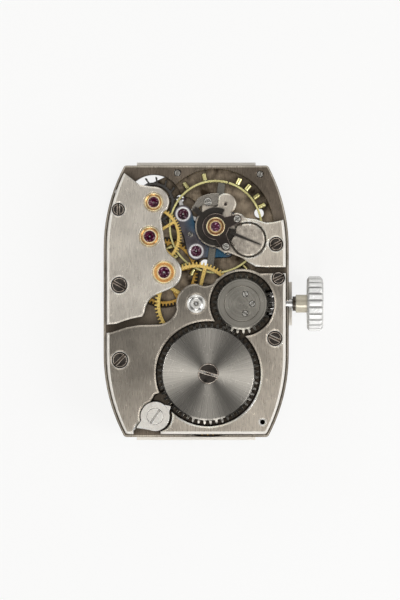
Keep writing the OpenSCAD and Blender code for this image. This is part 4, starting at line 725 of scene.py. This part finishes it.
pallet_finish = metal("blue_grey_steel", pallet_colour, 0.22, depth=0.12, cloud=0.4, edge=3.0,
                      tone_size=1.5, width=0.07)
dress(pallet_finish, "pallet_bridge")

# %% [markdown]
# ## Steel
#
# The screws, pins, levers and arbors are hardened steel. In the photo the level tops of the large
# screws and of the balance's cap look nearly black, with bright rims. Real polish looks so only
# where it mirrors something dark, so we give these pieces a dark colour, which is a painted dark
# reflection, and a bright edge, which is a painted highlight; this keeps their look from every
# side.

# %% Steel finishes
polished = metal("polished_steel", (0.62, 0.61, 0.60), 0.2, depth=0.06, cloud=0.08, edge=1.4)
dress(polished, "plate_pins", "centre_pinion", "third_pinion", "fourth_pinion", "seconds_pinion")
dress(polished, "escape_pinion", "pallet_fork", "balance_staff", "roller")
dress(polished, "winding_stem", "sliding_pinion", "setting_lever", "yoke", "setting_wheel")
dress(polished, "cannon_pinion", "barrel_arbor", "lower_cap", "winding_pinion")

# painted reflection: a near-black colour, with a much lighter edge as a painted highlight
screw_steel = metal("dark_screw_steel", (0.055, 0.048, 0.042), 0.16, depth=0.2, cloud=0.6,
                    edge=14.0, width=0.1, tone_size=0.9, reach=0.12)
dress(screw_steel, "bridge_screws", "setting_lever_screw", "ratchet_screw")
# painted reflection: near-black polished steel, with lighter edges as a painted highlight
painted_dark_polish = metal("steel_painted_dark_reflection", (0.055, 0.045, 0.04), 0.16, depth=0.1, cloud=0.3,
                     edge=8.0, width=0.06)
dress(painted_dark_polish, "endstone_cap", "hairspring_stud")

pale_steel = metal("pale_steel", (0.93, 0.89, 0.83), 0.33, depth=0.1, cloud=0.14, edge=1.3,
                   reach=0.15)
dress(pale_steel, "click", "click_screw")
# a darker head with a lighter edge, which draws a bright ring as a painted highlight
bright_screws = metal("bright_small_screws", (0.3, 0.29, 0.27), 0.15, depth=0.1, edge=3.2,
                      width=0.06, reach=0.12)
dress(bright_screws, "small_screws")
grey_steel = metal("grey_steel", (0.26, 0.24, 0.21), 0.25, depth=0.12, cloud=0.25, edge=2.4)
dress(grey_steel, "stud_clamp")
# painted shade: the escape wheel gets a near-black colour, so it stands as a dark silhouette
silhouette = metal("dark_wheel_steel", (0.1, 0.095, 0.09), 0.25, depth=0.1, edge=1.5)
dress(silhouette, "escape_wheel")

spring_steel = metal("blued_spring_steel", (0.16, 0.2, 0.34), 0.25, depth=0.1, edge=1.5)
dress(spring_steel, "hairspring", "mainspring", "yoke_spring")
dress(painted_dark_polish, "click_spring")

# %% [markdown]
# ## Winding wheels
#
# The ratchet wheel is finished with a sunray: a brush drawn from the middle outwards. Its
# grooves spread a reflection across themselves, which makes the bright and dark fans. That is
# anisotropy, so this material gives the shader a tangent that points away from the wheel's axis.
# In the photo the fans are strong, so part of them is in the colour. That part turns with the
# wheel, which a real reflection doesn't.

# %% Sunray and circular steel
low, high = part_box("ratchet_wheel")
ratchet_axis = (low + high) / 2
low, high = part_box("crown_wheel")
crown_wheel_axis = (low + high) / 2


def beyond_radius(tree, axis, radius):
    """1 further from an axis than a radius."""
    circle = use_group(tree, rings, **{"Axis X": axis.x, "Axis Y": axis.y})
    return step_mask(tree, circle.outputs["Radius"], radius, radius + 0.04 * MM)


def spun_steel(name, axis, group, count_or_size, around, strength, colour, band, depth,
               tooth_tones):
    """Steel brushed round an axis or away from it; beyond a radius the teeth get a darker colour
    with lighter flecks, which are painted shade with painted highlights.
    """
    label = "Count" if group is rays else "Size"
    pattern = (group, {"Axis X": axis.x, "Axis Y": axis.y, label: count_or_size})

    def toned(tree):
        base = colour_value(tree, colour)
        if group is rays:
            # four fans of light, with two of them stronger
            angle = use_group(tree, rays, **{"Axis X": axis.x, "Axis Y": axis.y}).outputs["Angle"]
            fans = 0.62
            for turns, part in ((4.0, 0.2), (2.0, 0.34)):
                wave = math_node(tree, "COSINE", math_node(tree, "MULTIPLY", angle, turns))
                fans = math_node(tree, "MULTIPLY_ADD", wave, part, fans)
            base = scaled(tree, base, fans)
        # the teeth: darker colour as painted shade, lighter flecks as painted highlights
        flecks = use_group(tree, clouds, Size=0.25 * MM)
        dark, light = (shade(colour, tone) for tone in tooth_tones)
        tooth_shade_and_flecks = blend_colour(tree, flecks.outputs["Mask"], dark, light)
        return blend_colour(tree, beyond_radius(tree, axis, band), base, tooth_shade_and_flecks)

    material = metal(name, toned, 0.28, pattern, depth=depth, cloud=0.1, edge=2.0, bump=0.05,
                     reach=0.15)
    tree = material.node_tree
    shader = tree.nodes["Principled BSDF"]
    # the teeth are polished, so they mirror the window more sharply
    rough = shader.inputs["Roughness"].links[0].from_socket
    sharper = math_node(tree, "MULTIPLY_ADD", beyond_radius(tree, axis, band), -0.5, 1.0)
    tree.links.new(math_node(tree, "MULTIPLY", rough, sharper), shader.inputs["Roughness"])
    shader.inputs["Anisotropic"].default_value = strength
    brush = vector_node(tree, "SUBTRACT", place_on_part(tree), tuple(axis))
    if around:
        brush = vector_node(tree, "CROSS_PRODUCT", brush, (0.0, 0.0, 1.0))
    tree.links.new(brush, shader.inputs["Tangent"])
    return material


sunray = spun_steel("sunray_steel", ratchet_axis, rays, 40.0, False, 0.9, (0.56, 0.53, 0.48),
                    3.95 * MM, 0.62, (0.06, 0.55))
dress(sunray, "ratchet_wheel")
circled = spun_steel("circled_steel", crown_wheel_axis, rings, 0.00012, True, 0.6,
                     (0.27, 0.255, 0.225), 2.1 * MM, 0.35, (0.15, 0.9))
dress(circled, "crown_wheel", "crown_wheel_core")
bush_steel = metal("bright_bush", (0.8, 0.79, 0.76), 0.1, depth=0.05, edge=1.2, corner_shade=0.9)
dress(bush_steel, "centre_bush")

# %% [markdown]
# ## Gilt, gold and brass
#
# The train's wheels are gilt brass, the jewels sit in turned gold settings and the balance has
# a brass rim on a steel arm. A plain yellow metal turns brown where it mirrors the dark part of
# the tent, so the gilt is only partly metallic, which keeps more of its colour.

# %% Gilt wheels
# each setting's bore and outer radius in millimetres, by the joint that it carries
chaton_sizes = {
    "escape_turn": (0.46, 0.78), "fourth_turn": (0.5, 0.85), "third_turn": (0.5, 0.95),
    "balance_swing": (0.4, 0.8),
}
gilt = metal("gilt_brass", (1.0, 0.7, 0.21), 0.3, depth=0.12, cloud=0.15, edge=1.2, metallic=0.5,
             corner_shade=0.45)
dress(gilt, "centre_wheel", "fourth_wheel")
# painted shade: a darker copy of the gilt for the third wheel and the barrel
shaded_gilt = metal("gilt_brass_painted_shade", (0.6, 0.36, 0.09), 0.3, depth=0.12, cloud=0.2, edge=1.2)
dress(shaded_gilt, "third_wheel", "barrel_drum", "barrel_cover")
dress(gilt, "minute_wheel", "hour_wheel")


def gold_colour(tree):
    """Pale gold rings with a browner slope between them, which is painted shade, and a paler lip
    at the bore, which is a painted highlight.
    """
    base = colour_value(tree, (1.0, 0.82, 0.52))
    for joint, (bore, outer) in chaton_sizes.items():
        x, y = joint_place[joint]
        # painted shade on the slope and a painted highlight on the lip
        slope = near_point(tree, x, y, outer - 0.08, 0.04)
        base = blend_colour(tree, slope, base, (0.85, 0.55, 0.24))
        lip = near_point(tree, x, y, bore + 0.07, 0.03)
        base = blend_colour(tree, lip, base, (1.0, 0.84, 0.6))
    return base


gold = metal("polished_gold", gold_colour, 0.16, depth=0.05, cloud=0.22, edge=1.1, corner_shade=0.6,
             tone_size=0.9, metallic=0.8)
dress(gold, "gold_chatons")
rim_brass = metal("balance_brass", (0.82, 0.75, 0.36), 0.28, depth=0.12, cloud=0.3, edge=1.3,
                  tone_size=2.0)
dress(rim_brass, "balance_screws", "hairspring_collet")
low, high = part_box("balance_staff")
balance_axis = (low + high) / 2


def balance_colour(tree):
    """Brass rim, steel arm."""
    rim = beyond_radius(tree, balance_axis, 3.86 * MM)
    return blend_colour(tree, rim, (0.2, 0.19, 0.165), (0.8, 0.73, 0.34))


balance_finish = metal("cut_balance", balance_colour, 0.28, depth=0.1, cloud=0.3, edge=1.3,
                       tone_size=2.0)
dress(balance_finish, "balance_wheel")

# %% [markdown]
# The regulator is one flat piece of polished steel: a thin ring round the balance's cap, with a
# long index and a short arm. In the photo the arms are nearly black and the ring is light, so this
# steel has a dark colour, a painted dark reflection, and bright edges, a painted highlight: the
# ring is so thin that its edges make most of it.

# %% Regulator
regulator_finish = metal("dark_regulator_steel", (0.05, 0.045, 0.04), 0.2, depth=0.12, cloud=0.3,
                         edge=5.0, width=0.04)
dress(regulator_finish, "regulator")

# %% [markdown]
# ## Rubies
#
# A jewel is a small ruby cylinder with a hole and a hollow for oil. Glass-like transmission
# would need many more samples for a piece of ten pixels, so a dark magenta body with a thin
# clear coat and a few pale specks stands for the light inside it.


# %% Ruby
def ruby_material():
    """Deep magenta stone: dark body, clear polish."""
    material = bpy.data.materials.new("ruby")
    material.use_nodes = True
    tree = material.node_tree
    shader = tree.nodes["Principled BSDF"]
    tone = use_group(tree, clouds, Size=0.0004)
    base = blend_colour(tree, tone.outputs["Mask"], (0.018, 0.0, 0.007), (0.11, 0.003, 0.038))
    specks = use_group(tree, grain, Size=0.00016)
    bright = step_mask(tree, specks.outputs["Mask"], 0.66, 0.8)
    base = blend_colour(tree, math_node(tree, "MULTIPLY", bright, 0.55), base, (0.75, 0.45, 0.6))
    tree.links.new(base, shader.inputs["Base Color"])
    shader.inputs["Roughness"].default_value = 0.12
    shader.inputs["Coat Weight"].default_value = 0.2
    shader.inputs["Specular IOR Level"].default_value = 0.25
    return material


dress(ruby_material(), "upper_jewels", "lower_jewels", "pallet_stones", "impulse_jewel")

# %% [markdown]
# ## Crown
#
# The crown is bright steel with deep flutes, and its hub has a dark collar on the movement's
# side. In the photo the ridges are almost white, so this steel is mostly a pale colour with a
# little metal in it. The flutes are in the solid; the colour only separates ridge, valley and
# hub, by the distance from the stem, so it stays right when the crown turns.

# %% Crown
low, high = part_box("winding_stem")
stem_axis = (low + high) / 2
low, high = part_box("crown")
crown_reach = high.y - stem_axis.y
hub_radius = 0.78 * MM
collar_end = 8.68 * MM


def crown_colour(tree):
    """Bright ridges, greyer valleys between them as painted shade, and a pale hub with a dark
    collar.
    """
    place = place_parts(tree)
    rise = math_node(tree, "SUBTRACT", place["Z"], stem_axis.z)
    from_stem = radius_of(tree, place["Y"], rise)
    inside = step_mask(tree, from_stem, crown_reach - 0.3 * MM, crown_reach - 0.28 * MM)
    outside = step_mask(tree, from_stem, crown_reach - 0.04 * MM, crown_reach - 0.14 * MM)
    # painted shade: the valleys between the ridges are greyer
    valley = math_node(tree, "MULTIPLY", inside, outside)
    fluted = blend_colour(tree, valley, (0.98, 0.98, 0.97), (0.62, 0.62, 0.61))
    hub = step_mask(tree, from_stem, hub_radius + 0.06 * MM, hub_radius + 0.02 * MM)
    collar = step_mask(tree, place["X"], collar_end + 0.05 * MM, collar_end - 0.05 * MM)
    neck = blend_colour(tree, collar, (0.8, 0.74, 0.6), (0.05, 0.035, 0.02))
    return blend_colour(tree, hub, fluted, neck)


crown_steel = metal("bright_crown_steel", crown_colour, 0.16, depth=0.05, cloud=0.05, edge=1.05,
                    corner_shade=0.3, metallic=0.2)
dress(crown_steel, "crown")

# %% [markdown]
# ## Check and finish
# A node that we forgot would keep the plain colour that it was loaded with, so we list the nodes
# that no finish went on.

# %% Check the finish
print("undressed:", sorted(set(nodes) - dressed))
